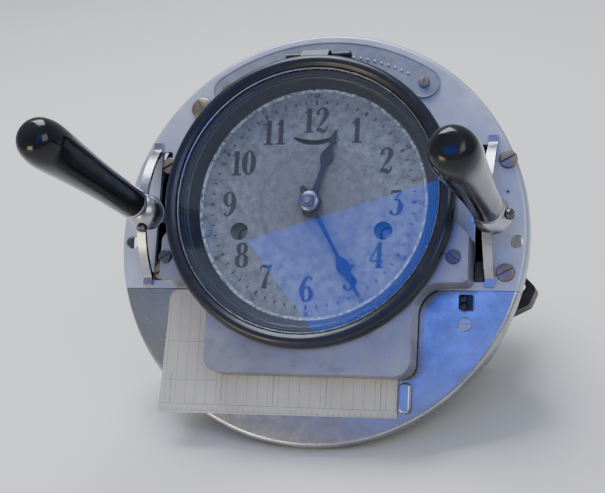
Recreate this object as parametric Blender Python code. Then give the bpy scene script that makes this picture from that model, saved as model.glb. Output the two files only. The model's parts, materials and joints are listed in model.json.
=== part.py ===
"""Two-lever elapsed-time card stamp: a round cover plate with a clock under a hinged glass, two sprung
printing levers, the printing head with its card throat, and the movement in an iron case behind.

The pieces are laid out in the plate's own frame: x to the right, y up the plate, z out of its face,
with z = 0 on the face.  The root empty leans that frame back, so that the stamp stands on the plate's
lower rim and on the two feet of its case.
"""

import bmesh
import bpy
from math import asin, atan2, cos, pi, radians, sin, sqrt, tau
from mathutils import Matrix, Vector

MM = 0.001
GAP = 0.3 * MM                      # clearance between pieces that touch

# Cover plate
PLATE_R = 114.3 * MM                # a nine inch plate
PLATE_T = 3.0 * MM
SKIRT_DEPTH = 10.0 * MM
SPLIT_Y = -30.0 * MM                # the painted plate ends here and the nickel card table begins
LEAN = radians(36)                  # how far the plate leans back from upright

# Clock
CLOCK_Y = 14.5 * MM                 # the clock's centre above the plate's centre
DIAL_Z = 12.0 * MM
HEAD_TOP = 19.3 * MM
HINGE_Y, HINGE_Z = 96.5 * MM, 14.2 * MM

# Levers
PIVOT_Y, PIVOT_Z = 12.5 * MM, -32.0 * MM
ARCH_OUT, ARCH_T, ARCH_W = 50.0 * MM, 2.5 * MM, 5.0 * MM
BALL_R, BALL_AT = 10.0 * MM, 51.0 * MM
GRIP_CRANK = radians(9.7)           # the grip leans up from the line of its lever
ARCH_X = {"left": -96.0 * MM, "right": 95.0 * MM}
BALL_X = {"left": -92.6 * MM, "right": 98.3 * MM}
REST_TILT = {"left": radians(4.0), "right": radians(7.5)}
SPLAY = {"left": radians(-5.5), "right": radians(-0.8)}
HUB_SCREW_TURN, HUB_SCREW = radians(62), {"left": "X", "right": "Y"}
SIDE = {"left": -1, "right": 1}

# Hammers and printing
HAMMER_Y, HAMMER_Z = -14.0 * MM, -13.0 * MM
PRINT_Y = -42.0 * MM
THROAT = 2.4 * MM                   # height of the card throat
CRANK = 7.0 * MM

# Wheel work
MESH_TIP, MESH_ROOT = 0.55, 0.85    # addendum and dedendum, in modules
ARBOR_R = 1.8 * MM
DIE_TEETH, IDLER_TEETH = 20, 20
DIE_MODULE = (CLOCK_Y - PRINT_Y) / (DIE_TEETH + IDLER_TEETH)
CANNON_LEAVES, MINUTE_TEETH, MINUTE_LEAVES, HOUR_TEETH = 6, 18, 6, 24
CENTRE_TEETH, THIRD_LEAVES, THIRD_TEETH, ESCAPE_LEAVES = 24, 6, 24, 6
BARREL_X, BARREL_Y = 40.0 * MM, -0.5 * MM
BARREL_TEETH, CENTRE_LEAVES = 30, 6
THIRD = Vector((10.5 * MM, CLOCK_Y + 18.19 * MM))
ESCAPE = Vector((-1.97 * MM, CLOCK_Y + 25.39 * MM))
BALANCE = Vector((-24.0 * MM, CLOCK_Y + 29.5 * MM))
MOTION_AT = Vector((0.0, CLOCK_Y + 18.0 * MM))

# Case
CASE_R, CASE_WALL = 101.0 * MM, 2.6 * MM
CASE_LOW, CASE_HIGH = -60.0 * MM, 78.0 * MM
CASE_BACK, POT_BACK = -82.0 * MM, -28.0 * MM
MOVEMENT_R = 60.0 * MM

MATERIALS = {
    "plate_paint": ((0.42, 0.44, 0.52), 0.35, 0.45),
    "nickel": ((0.55, 0.55, 0.56), 1.0, 0.25),
    "aluminium": ((0.52, 0.55, 0.58), 0.8, 0.42),
    "black_enamel": ((0.012, 0.012, 0.016), 0.0, 0.18),
    "black_iron": ((0.02, 0.017, 0.015), 0.2, 0.55),
    "silvered": ((0.36, 0.38, 0.42), 0.55, 0.5),
    "blued_steel": ((0.02, 0.025, 0.05), 0.8, 0.3),
    "steel": ((0.45, 0.44, 0.42), 1.0, 0.35),
    "dark_steel": ((0.09, 0.085, 0.08), 0.9, 0.45),
    "brass": ((0.62, 0.45, 0.18), 1.0, 0.3),
    "grip_black": ((0.008, 0.008, 0.01), 0.0, 0.12),
    "glass": ((0.85, 0.92, 0.95), 0.0, 0.03),
    "paper": ((0.68, 0.65, 0.58), 0.0, 0.85),
    "ribbon": ((0.03, 0.02, 0.06), 0.0, 0.9),
}


# ---------------------------------------------------------------- helpers

def clear_scene():
    for thing in list(bpy.data.objects):
        bpy.data.objects.remove(thing, do_unlink=True)


def material(name):
    made = bpy.data.materials.get(name)
    if made is None:
        colour, metallic, roughness = MATERIALS[name]
        made = bpy.data.materials.new(name)
        made.use_nodes = True
        shader = made.node_tree.nodes["Principled BSDF"]
        shader.inputs["Base Color"].default_value = (*colour, 1.0)
        shader.inputs["Metallic"].default_value = metallic
        shader.inputs["Roughness"].default_value = roughness
        if name == "glass":
            shader.inputs["Transmission Weight"].default_value = 1.0
    return made


def empty(name, at, parent=None):
    made = bpy.data.objects.new(name, None)
    bpy.context.scene.collection.objects.link(made)
    made.parent = parent
    made.location = at
    return made


def piece(name, bm, look, parent, at=(0, 0, 0), turn=(0, 0, 0)):
    """A named object from a bmesh, which is used up."""
    bmesh.ops.recalc_face_normals(bm, faces=bm.faces)
    if bm.calc_volume(signed=True) < 0:
        bmesh.ops.reverse_faces(bm, faces=bm.faces)
    mesh = bpy.data.meshes.new(name)
    bm.to_mesh(mesh)
    bm.free()
    mesh.shade_smooth()
    mesh.set_sharp_from_angle(angle=radians(35))
    made = bpy.data.objects.new(name, mesh)
    bpy.context.scene.collection.objects.link(made)
    made.parent = parent
    made.location = at
    made.rotation_euler = turn
    if look:
        mesh.materials.append(material(look))
    return made


def boolean(target, bm, operation):
    """Cuts or joins a helper shape, given in the target's own frame."""
    helper = piece(f"{target.name}_{operation.lower()}", bm, None, target)
    helper.hide_render = True
    helper.display_type = "WIRE"
    step = target.modifiers.new(operation.title(), "BOOLEAN")
    step.operation = operation
    step.solver = "EXACT"
    step.object = helper


def cut(target, *shapes):
    for shape in shapes:
        boolean(target, shape, "DIFFERENCE")


def join(target, *shapes):
    for shape in shapes:
        boolean(target, shape, "UNION")


def prism(outline, low, high):
    """A flat outline in x and y, extruded from low to high along z."""
    bm = bmesh.new()
    face = bm.faces.new([bm.verts.new((x, y, low)) for x, y in outline])
    raised = bmesh.ops.extrude_face_region(bm, geom=[face])["geom"]
    bmesh.ops.translate(bm, verts=[v for v in raised if isinstance(v, bmesh.types.BMVert)],
                        vec=(0, 0, high - low))
    return bm


def lathe(profile, steps=64, centre=(0, 0)):
    """A closed (radius, z) profile turned about z.  A radius of 0 lies on the axis."""
    bm = bmesh.new()
    rings = []
    for radius, z in profile:
        if radius < 1e-9:
            rings.append([bm.verts.new((centre[0], centre[1], z))])
            continue
        rings.append([bm.verts.new((centre[0] + radius * cos(tau * i / steps),
                                    centre[1] + radius * sin(tau * i / steps), z))
                      for i in range(steps)])
    for a, b in zip(rings, rings[1:] + rings[:1]):
        if len(a) == 1 and len(b) == 1:
            continue
        for i in range(steps):
            j = (i + 1) % steps
            corners = [a[i % len(a)], a[j % len(a)], b[j % len(b)], b[i % len(b)]]
            bm.faces.new(list(dict.fromkeys(corners)))
    return bm


def drum(radius, low, high, centre=(0, 0), steps=32):
    return prism(circle(radius, steps, centre, 0.13), low, high)


def along_x(bm, at=(0, 0, 0)):
    """Turns a shape made along z to lie along x, and moves it."""
    turned = Matrix.Translation(at) @ Matrix.Rotation(pi / 2, 4, "Y")
    bmesh.ops.transform(bm, matrix=turned, verts=bm.verts)
    return bm


def rod_x(radius, x0, x1, y=0.0, z=0.0, steps=20):
    return along_x(drum(radius, min(x0, x1), max(x0, x1), steps=steps), (0, y, z))


def block(x0, x1, y0, y1, z0, z1):
    return prism([(x0, y0), (x1, y0), (x1, y1), (x0, y1)], z0, z1)


def side_prism(outline, x0, x1):
    """An outline in y and z, extruded along x."""
    bm = prism(outline, min(x0, x1), max(x0, x1))
    for vert in bm.verts:
        y, z, x = vert.co
        vert.co = (x, y, z)
    return bm


def circle(radius, steps, centre=(0, 0), start=0.0):
    return [(centre[0] + radius * cos(start + tau * i / steps),
             centre[1] + radius * sin(start + tau * i / steps)) for i in range(steps)]


def arc(radius, start, end, steps, centre=(0, 0)):
    return [(centre[0] + radius * cos(start + (end - start) * i / steps),
             centre[1] + radius * sin(start + (end - start) * i / steps)) for i in range(steps + 1)]


def rounded(corners, steps=5):
    """An outline from (x, y, radius) corners, each rounded with an arc."""
    points = []
    for i, (x, y, radius) in enumerate(corners):
        here = Vector((x, y))
        if radius <= 0:
            points.append((x, y))
            continue
        before = (Vector(corners[i - 1][:2]) - here).normalized()
        after = (Vector(corners[(i + 1) % len(corners)][:2]) - here).normalized()
        half = before.angle(after) / 2
        centre = here + (before + after).normalized() * radius / sin(half)
        reach = sqrt((centre - here).length_squared - radius ** 2)
        start = here + before * reach - centre
        sweep = start.angle_signed(here + after * reach - centre)
        for k in range(steps + 1):
            spoke = start.copy()
            spoke.rotate(Matrix.Rotation(-sweep * k / steps, 2))
            points.append(tuple(centre + spoke))
    return points


def slotted_screw(name, radius, height, look, parent, at, slot_turn=0.0, shank=0.0):
    """A screw head standing on its seat, with a driver slot, and a shank below it when it needs one."""
    profile = [(0, 0), (radius, 0), (radius, height * 0.7), (radius * 0.8, height), (0, height)]
    if shank:
        profile = [(0, -shank), (radius * 0.5, -shank), (radius * 0.5, 0)] + profile[1:]
    screw = piece(name, lathe(profile, 12), look, parent, at, (0, 0, slot_turn))
    cut(screw, block(-radius * 1.2, radius * 1.2, -radius * 0.12, radius * 0.12, height * 0.5, height * 2))
    return screw


def tapered(stations):
    """A shape symmetric about y, from (y, half width) stations."""
    return [(w, y) for y, w in stations] + [(-w, y) for y, w in reversed(stations)]


def toothed(module, teeth, low, high, first=0.0, centre=(0, 0)):
    """A toothed disc.  first is the angle of the middle of one tooth."""
    radius = module * teeth / 2
    root, tip = radius - MESH_ROOT * module, radius + MESH_TIP * module
    pitch = tau / teeth
    outline = []
    for i in range(teeth):
        middle = first + i * pitch
        for at, share in ((root, -0.30), (tip, -0.13), (tip, 0.13), (root, 0.30)):
            angle = middle + share * pitch
            outline.append((centre[0] + at * cos(angle), centre[1] + at * sin(angle)))
    return prism(outline, low, high)


def meshing(first, teeth_a, teeth_b, centre_a, centre_b):
    """The angle of a tooth on wheel b that puts b in mesh with wheel a, which has a tooth at first."""
    line = atan2(centre_b[1] - centre_a[1], centre_b[0] - centre_a[0])
    lag = (line - first) % (tau / teeth_a)
    return line + pi + lag * teeth_a / teeth_b + pi / teeth_b


def floor_y(z):
    """Where the standing surface crosses the depth z behind the plate."""
    level = -PLATE_R * cos(LEAN) - SKIRT_DEPTH * sin(LEAN)
    return (level - z * sin(LEAN)) / cos(LEAN)


# ---------------------------------------------------------------- cover plate

def plate_part(root, name, look, keep_above):
    """One part of the round plate, with its skirt, to one side of the split."""
    outer = [(0, 0), (PLATE_R - 2.4 * MM, 0), (PLATE_R - 0.7 * MM, -0.7 * MM), (PLATE_R, -2.4 * MM),
             (PLATE_R, -SKIRT_DEPTH), (PLATE_R - PLATE_T, -SKIRT_DEPTH), (PLATE_R - PLATE_T, -PLATE_T),
             (0, -PLATE_T)]
    plate = piece(name, lathe(outer, 52), look, root)
    far = 130 * MM
    if keep_above:
        cut(plate, block(-far, far, -far, SPLIT_Y, -far, far))
    else:
        cut(plate, block(-far, far, SPLIT_Y - GAP, far, -far, far))
    return plate


def face_plate(root):
    plate = plate_part(root, "face_plate", "plate_paint", True)
    for x in (-54 * MM, -18 * MM, 18 * MM, 54 * MM):
        join(plate, block(x - 2 * MM, x + 2 * MM, HAMMER_Y - 5 * MM, HAMMER_Y + 5 * MM, -17 * MM, -2 * MM))
    for side in SIDE.values():
        join(plate, block(side * 75.5 * MM - 2 * MM, side * 75.5 * MM + 2 * MM, PIVOT_Y - 6.5 * MM,
                          PIVOT_Y + 6.5 * MM, -38.5 * MM, -2 * MM))
        cut(plate, rod_x(4 * MM + GAP, side * 70 * MM, side * 80 * MM, PIVOT_Y, PIVOT_Z))
        cut(plate, rod_x(3 * MM + GAP, side * 10 * MM, side * 60 * MM, HAMMER_Y, HAMMER_Z, 16))
        cut(plate, drum(3.5 * MM, -5 * MM, 2 * MM, (side * 108 * MM, -4 * MM), 24))
        cut(plate, drum(4.5 * MM, -5 * MM, 2 * MM, (side * BARREL_X, BARREL_Y), 20))
    for name, side in SIDE.items():
        arm = ARCH_X[name] - side * 5.5 * MM
        cut(plate, block(arm - 3 * MM, arm + 3 * MM, PIVOT_Y - 38 * MM, PIVOT_Y + 36 * MM, -5 * MM, 2 * MM))
    cut(plate, drum(5 * MM, -5 * MM, 2 * MM, (0, CLOCK_Y), 24))
    cut(plate, drum(4.6 * MM, -5 * MM, 2 * MM, (-71 * MM, 73.3 * MM), 24))
    join(plate, drum(1.0 * MM, -2 * MM, 9.6 * MM, MOTION_AT, 12))
    join(plate, drum(1.5 * MM, -2 * MM, 5.2 * MM, (0, idler_y()), 12))


def card_table(root):
    table = plate_part(root, "card_table", "nickel", False)
    cut(table, block(-14 * MM, 14 * MM, PRINT_Y - 9.5 * MM, PRINT_Y + 9.5 * MM, -5 * MM, 2 * MM))
    slotted_screw("card_table_screw", 3.75 * MM, 1.3 * MM, "steel", root, (82.6 * MM, -47.8 * MM, GAP))
    guide = rounded([(49.9 * MM, -95 * MM, 2.8 * MM), (56.3 * MM, -95 * MM, 2.8 * MM),
                     (56.3 * MM, -79 * MM, 2.8 * MM), (49.9 * MM, -79 * MM, 2.8 * MM)], 4)
    block_piece = piece("card_guide_block", prism(guide, GAP, 4.6 * MM), "nickel", root)
    soften(block_piece, 1.0 * MM)
    catch = piece("ribbon_catch", block(79.5 * MM, 87 * MM, -40.5 * MM, -32.5 * MM, GAP, 3.0 * MM),
                  "black_enamel", root)
    for y in (-35 * MM, -38.6 * MM):
        dome = [(0, 2 * MM), (1.7 * MM, 2 * MM), (1.7 * MM, 3.4 * MM), (1.2 * MM, 4.5 * MM), (0, 5 * MM)]
        join(catch, lathe(dome, 14, (82 * MM, y)))


def soften(target, width, segments=2):
    bevel = target.modifiers.new("Soften", "BEVEL")
    bevel.width = width
    bevel.segments = segments
    bevel.limit_method = "ANGLE"
    bevel.angle_limit = radians(40)


def top_nameplate(root):
    """A blank curved label plate along the top edge, with a screw at each end."""
    start, end = radians(56), radians(124)
    middle, half = 101 * MM, 8.6 * MM
    outline = arc(middle + half, start, end, 20)
    outline += arc(half, end, end + pi, 6, (middle * cos(end), middle * sin(end)))[1:-1]
    outline += arc(middle - half, end, start, 20)
    outline += arc(half, start + pi, start + tau, 6, (middle * cos(start), middle * sin(start)))[1:-1]
    label = piece("top_nameplate", prism(outline, GAP, 1.5 * MM), "aluminium", root)
    soften(label, 0.35 * MM, 1)
    for name, angle in (("right", start), ("left", end)):
        slotted_screw(f"nameplate_screw_{name}", 3.0 * MM, 1.2 * MM, "dark_steel", root,
                      (middle * cos(angle), middle * sin(angle), 1.5 * MM + GAP), 0.6)


# ---------------------------------------------------------------- printing head and clock face

def head_casting(root):
    """The hollow T-shaped head, with the round clock seat and the card throat under its tongue."""
    corners = [(87, -29, 4), (87, -5, 6), (70, 12, 0), (-66, 12, 0), (-81.8, -5, 6), (-81.8, -29, 4),
               (-53, -29, 15), (-53, -77.5, 8), (58.5, -77.5, 8), (58.5, -29, 15)]
    outline = rounded([(x * MM, y * MM, r * MM) for x, y, r in corners])
    head = piece("head_casting", prism(outline, GAP, HEAD_TOP), "aluminium", root)
    join(head, drum(77 * MM, GAP, HEAD_TOP, (0, CLOCK_Y), 56))
    cut(head, drum(74 * MM, -1 * MM, 7 * MM, (0, CLOCK_Y), 40),
        drum(60 * MM, 5 * MM, 30 * MM, (0, CLOCK_Y), 32),
        drum(69 * MM, 10.2 * MM, 30 * MM, (0, CLOCK_Y), 48),
        block(-95 * MM, 95 * MM, -90 * MM, SPLIT_Y + 0.5 * MM, -1 * MM, THROAT))
    for side in SIDE.values():
        arch_side = "left" if side < 0 else "right"
        arm = ARCH_X[arch_side] - side * 5.5 * MM
        cut(head, block(min(arm - side * 3 * MM, side * 130 * MM), max(arm - side * 3 * MM, side * 130 * MM),
                        -40 * MM, 60 * MM, -1 * MM, 30 * MM))
        slotted_screw(f"head_screw_{arch_side}", 3.8 * MM, 1.2 * MM, "dark_steel", root,
                      (side * 79 * MM, -16 * MM, HEAD_TOP + GAP), -0.6 * side)


def bezel(root):
    """The hinged bezel with its glass.  All of it hangs on the hinge line."""
    hinge = empty("bezel_hinge_axis", (0, HINGE_Y, HINGE_Z), root)
    back = (0, CLOCK_Y - HINGE_Y)
    profile = [(63.4, 13.0), (66.5, 13.0), (68.2, 19.6), (79.5, 19.6), (79.5, 24.0), (77.0, 27.2),
               (74.4, 27.0), (72.8, 26.0), (72.4, 25.4), (72.4, 22.4), (70.0, 22.2), (66.6, 19.0)]
    ring = piece("bezel_ring", lathe([(r * MM, z * MM - HINGE_Z) for r, z in profile], 42, back),
                 "black_enamel", hinge)
    join(ring, side_prism([(-4.5 * MM, 6 * MM), (-4.5 * MM, 10 * MM), (1.5 * MM, 6 * MM), (2.3 * MM, 0),
                           (0, -1 * MM), (-2.3 * MM, 0)], -7.5 * MM, 7.5 * MM))
    join(ring, rod_x(2.5 * MM, -7.5 * MM, 7.5 * MM))
    cut(ring, rod_x(1.2 * MM + GAP, -20 * MM, 20 * MM, steps=12))
    glass_low, glass_high = 22.7 * MM - HINGE_Z, 24.2 * MM - HINGE_Z
    piece("bezel_glass", lathe([(0, glass_low), (72.0 * MM, glass_low), (72.0 * MM, glass_high - 0.4 * MM),
                                (71.5 * MM, glass_high), (0, glass_high)], 40, back), "glass", hinge)
    retainer = [(70.4, 24.5), (72.0, 24.5), (72.0, 25.5), (70.4, 25.0)]
    piece("glass_retainer", lathe([(r * MM, z * MM - HINGE_Z) for r, z in retainer], 40, back),
          "nickel", hinge)
    leaf = piece("bezel_hinge_leaf", block(-18 * MM, 18 * MM, -4.7 * MM, -2.6 * MM, -8 * MM, -3.4 * MM),
                 "black_enamel", root, (0, HINGE_Y, HINGE_Z))
    for x in (-18 * MM, 8 * MM):
        join(leaf, rod_x(2.5 * MM, x, x + 10 * MM))
        web = [(-4.7, -7), (-1, -4), (1, -1), (-1.6, 1), (-4.7, -1)]
        join(leaf, side_prism([(y * MM, z * MM) for y, z in web], x, x + 10 * MM))
    join(leaf, rod_x(1.2 * MM, -18.6 * MM, 18.6 * MM, steps=12))


def dial(root):
    """The silvered dial, with its arbor hole, two winding holes and the smile-shaped slot."""
    plate = piece("dial", drum(68 * MM, 10.5 * MM - DIAL_Z, 0, steps=40), "silvered", root,
                  (0, CLOCK_Y, DIAL_Z))
    cut(plate, drum(4 * MM, -3 * MM, 3 * MM, steps=20))
    for side in SIDE.values():
        cut(plate, drum(4.9 * MM, -3 * MM, 3 * MM, (side * BARREL_X, BARREL_Y - CLOCK_Y), 20))
    slot = arc(21.3 * MM, radians(-90 - 35), radians(-90 + 35), 10, (0, 53.7 * MM))
    slot += arc(31.2 * MM, radians(-90 + 20), radians(-90 - 20), 10, (0, 66.4 * MM))
    cut(plate, prism(slot, -3 * MM, 3 * MM))


def hands(root, arbor):
    hour = tapered([(-8, 1.6), (-5.6, 3.0), (-2.5, 5.2), (0, 5.8), (2.5, 5.2), (5.6, 2.6), (9, 1.5),
                    (20, 1.3), (22, 2.2), (24.5, 3.4), (27, 3.5), (29.5, 2.6), (32, 1.2), (34, 1.0),
                    (35.2, 3.0), (36.2, 1.6), (39, 1.1), (42, 0.3)])
    shape = piece("hour_hand", prism([(x * MM, y * MM) for x, y in hour], 0, 0.7 * MM), "blued_steel",
                  root, (0, CLOCK_Y, DIAL_Z + 1.4 * MM), (0, 0, radians(-17)))
    cut(shape, drum(3.0 * MM + GAP, -3 * MM, 3 * MM, steps=16))
    minute = tapered([(-10, 1.4), (-6, 2.4), (-2.5, 4.6), (0, 5.2), (2.5, 4.6), (6, 2.0), (10, 1.3),
                      (33, 1.1), (36, 2.4), (40, 3.6), (43, 3.3), (46.5, 1.5), (47.6, 2.6), (48.6, 1.2),
                      (54, 0.8), (59, 0.25)])
    shape = piece("minute_hand", prism([(x * MM, y * MM) for x, y in minute], 0, 0.6 * MM), "blued_steel",
                  arbor, (0, 0, DIAL_Z + 3.2 * MM), (0, 0, radians(-150)))
    cut(shape, drum(ARBOR_R + GAP, -3 * MM, 3 * MM, steps=16))
    nut = [(ARBOR_R + GAP, 0), (5.8 * MM, 0), (5.8 * MM, 1.6 * MM), (4.4 * MM, 2.4 * MM),
           (3.4 * MM, 2.6 * MM), (3.1 * MM, 3.6 * MM), (ARBOR_R + GAP, 3.6 * MM)]
    piece("hand_nut", lathe(nut, 24), "blued_steel", arbor, (0, 0, DIAL_Z + 4.1 * MM))


def lock_barrel(root):
    profile = [(0, -3.2 * MM), (4 * MM, -3.2 * MM), (4 * MM, 0), (6.25 * MM, 0), (6.25 * MM, 1.8 * MM),
               (5.6 * MM, 2.6 * MM), (0, 2.6 * MM)]
    barrel = piece("lock_barrel", lathe(profile, 28), "brass", root, (-71 * MM, 73.3 * MM, GAP),
                   (0, 0, radians(35)))
    cut(barrel, block(-0.8 * MM, 0.8 * MM, -4.5 * MM, 4.5 * MM, 1.2 * MM, 4 * MM))


# ---------------------------------------------------------------- levers and hammers

def guide_arch(root, name):
    """The bent strip that the lever's ball straddles, concentric with the lever's shaft."""
    spread = asin(38.0 * MM / ARCH_OUT)
    outline = arc(ARCH_OUT, pi / 2 + spread, pi / 2 - spread, 20)
    outline += arc(ARCH_OUT - ARCH_T, pi / 2 - spread, pi / 2 + spread, 20)
    arch = piece(f"guide_arch_{name}", side_prism(outline, -ARCH_W / 2, ARCH_W / 2), "nickel", root,
                 (ARCH_X[name], PIVOT_Y, PIVOT_Z))
    seat = GAP - PIVOT_Z
    for end in (-1, 1):
        join(arch, block(-ARCH_W / 2, ARCH_W / 2, min(end * 33.5 * MM, end * 41 * MM),
                         max(end * 33.5 * MM, end * 41 * MM), seat, seat + 1.8 * MM))
    cut(arch, block(-20 * MM, 20 * MM, -60 * MM, 60 * MM, -10 * MM, seat))
    for end, y in (("upper", 40 * MM), ("lower", -20.5 * MM)):
        slotted_screw(f"arch_screw_{name}_{end}", 4.9 * MM, 2.0 * MM, "brass", root,
                      (ARCH_X[name] + 8.0 * MM, y, GAP), 0.5)


def lever(root, name):
    """One lever: its shaft with the crank, the arm and slotted ball, the ferrule and the grip."""
    side = SIDE[name]
    pivot = empty(f"lever_pivot_{name}", (0, PIVOT_Y, PIVOT_Z), root)
    tilt = (REST_TILT[name], 0, 0)
    arm_x = ARCH_X[name] - side * 5.5 * MM
    ball_x = BALL_X[name]

    arm = piece(f"lever_{name}", block(arm_x - 2 * MM, arm_x + 2 * MM, -3.5 * MM, 3.5 * MM, 0, BALL_AT),
                "nickel", pivot, (0, 0, 0), tilt)
    join(arm, rod_x(7.5 * MM, arm_x - 2 * MM, arm_x + 2 * MM, steps=24))
    ball = bmesh.new()
    bmesh.ops.create_uvsphere(ball, u_segments=18, v_segments=10, radius=BALL_R)
    bmesh.ops.translate(ball, verts=ball.verts, vec=(ball_x, 0, BALL_AT))
    join(arm, ball)
    crank = Matrix.Translation((ball_x, 0, BALL_AT)) @ Matrix.Rotation(SPLAY[name], 4, "Y")
    crank = crank @ Matrix.Rotation(-GRIP_CRANK, 4, "X")
    neck = drum(4.6 * MM, 4 * MM, 13.2 * MM, steps=14)
    bmesh.ops.transform(neck, matrix=crank, verts=neck.verts)
    join(arm, neck)
    groove = ARCH_X[name]
    sweep = arc(ARCH_OUT + 0.5 * MM, pi / 2 + 0.5, pi / 2 - 0.5, 10)
    sweep += [(24 * MM, 15 * MM), (-24 * MM, 15 * MM)]
    cut(arm, side_prism(sweep, groove - 3.0 * MM, groove + 3.0 * MM))
    cut(arm, rod_x(4 * MM + GAP, arm_x - 9 * MM, arm_x + 9 * MM))

    grip_axis = empty(f"grip_axis_{name}", (0, 0, 0), pivot)
    grip_axis.matrix_local = Matrix.Rotation(REST_TILT[name], 4, "X") @ crank
    ferrule = [(0, 13.5), (6.0, 13.5), (8.8, 15.2), (8.8, 16.4), (7.4, 17.4), (3.0, 17.4), (3.0, 26.0),
               (0, 26.0)]
    piece(f"ferrule_{name}", lathe([(r * MM, z * MM) for r, z in ferrule], 18), "nickel", grip_axis)
    grip = [(3.3, 17.8), (8.4, 17.8), (8.9, 40), (9.8, 60), (11.2, 82), (12.2, 98), (11.9, 108),
            (9.4, 114.2), (5.0, 117.1), (0, 117.7), (0, 26.4), (3.3, 26.4)]
    piece(f"grip_{name}", lathe([(r * MM, z * MM) for r, z in grip], 20), "grip_black", grip_axis)

    hub_screw = [(0, 0), (2.9 * MM, 0), (2.9 * MM, 1.2 * MM), (2.2 * MM, 1.8 * MM), (0, 1.8 * MM)]
    screw = piece(f"hub_screw_{name}", lathe(hub_screw, 16), "dark_steel", pivot)
    screw.matrix_local = (Matrix.Rotation(REST_TILT[name], 4, "X")
                          @ Matrix.Translation((ball_x, 0, BALL_AT))
                          @ Matrix.Rotation(HUB_SCREW_TURN, 4, HUB_SCREW[name])
                          @ Matrix.Translation((0, 0, BALL_R + GAP)))

    shaft = piece(f"lever_shaft_{name}", rod_x(4 * MM, side * 66.3 * MM, arm_x + side * 2.8 * MM, steps=16),
                  "steel", pivot)
    toward = Vector((HAMMER_Y - PIVOT_Y, HAMMER_Z - PIVOT_Z)).normalized()
    pin = toward * CRANK
    join(shaft, rod_x(10 * MM, side * 66.3 * MM, side * 69.5 * MM, steps=18))
    join(shaft, rod_x(2 * MM, side * 60 * MM, side * 68 * MM, pin.x, pin.y, 10))
    return_spring(root, name)
    hammer(root, name, toward)


def return_spring(root, name):
    """The torsion coil round the lever shaft, between its bearing and the arm."""
    side, turns, steps = SIDE[name], 3, 10
    start = side * 78.6 * MM
    run = side * 5.2 * MM
    curve = bpy.data.curves.new(f"return_spring_{name}", "CURVE")
    curve.dimensions = "3D"
    curve.bevel_depth = 0.6 * MM
    curve.bevel_resolution = 0
    curve.use_fill_caps = True
    points = [(start + run * k / (turns * steps), 5.6 * MM * cos(tau * k / steps),
               5.6 * MM * sin(tau * k / steps)) for k in range(turns * steps + 1)]
    spline = curve.splines.new("POLY")
    spline.points.add(len(points) - 1)
    for place, point in zip(spline.points, points):
        place.co = (*point, 1)
    curve.materials.append(material("dark_steel"))
    spring = bpy.data.objects.new(f"return_spring_{name}", curve)
    bpy.context.scene.collection.objects.link(spring)
    spring.parent = root
    spring.location = (0, PIVOT_Y, PIVOT_Z)


def hammer(root, name, toward):
    """A hammer on its own shaft: the forked tail takes the crank pin and the head strikes the card."""
    side = SIDE[name]
    axis = empty(f"hammer_axis_{name}", (0, HAMMER_Y, HAMMER_Z), root)
    body = piece(f"hammer_{name}", rod_x(3 * MM, side * 1.5 * MM, side * 64.5 * MM, steps=12), "steel", axis)
    back = -toward
    across = Vector((-back.y, back.x))
    reach = Vector((PIVOT_Y - HAMMER_Y, PIVOT_Z - HAMMER_Z)).length - CRANK + 4.5 * MM
    half = across * 5 * MM
    tail = [half, back * reach + half, back * reach - half, -half]
    join(body, side_prism([tuple(p) for p in tail], side * 60.8 * MM, side * 64.5 * MM))
    near = reach - 8.5 * MM
    slot = [back * near + across * 2.6 * MM, back * (reach + 3 * MM) + across * 2.6 * MM,
            back * (reach + 3 * MM) - across * 2.6 * MM, back * near - across * 2.6 * MM]
    cut(body, side_prism([tuple(p) for p in slot], side * 55 * MM, side * 68 * MM))
    join(body, side_prism([(0, -2 * MM), (0, 2.5 * MM), (-24 * MM, 6 * MM), (-30 * MM, 6 * MM),
                           (-30 * MM, 2 * MM)], side * 4 * MM, side * 10 * MM))
    join(body, block(min(side * 0.8 * MM, side * 12.8 * MM), max(side * 0.8 * MM, side * 12.8 * MM),
                     PRINT_Y - HAMMER_Y - 8 * MM, PRINT_Y - HAMMER_Y + 8 * MM, 4.4 * MM, 9.6 * MM))


# ---------------------------------------------------------------- wheel work

def idler_y():
    return CLOCK_Y - DIE_MODULE * (DIE_TEETH + IDLER_TEETH) / 2


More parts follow.
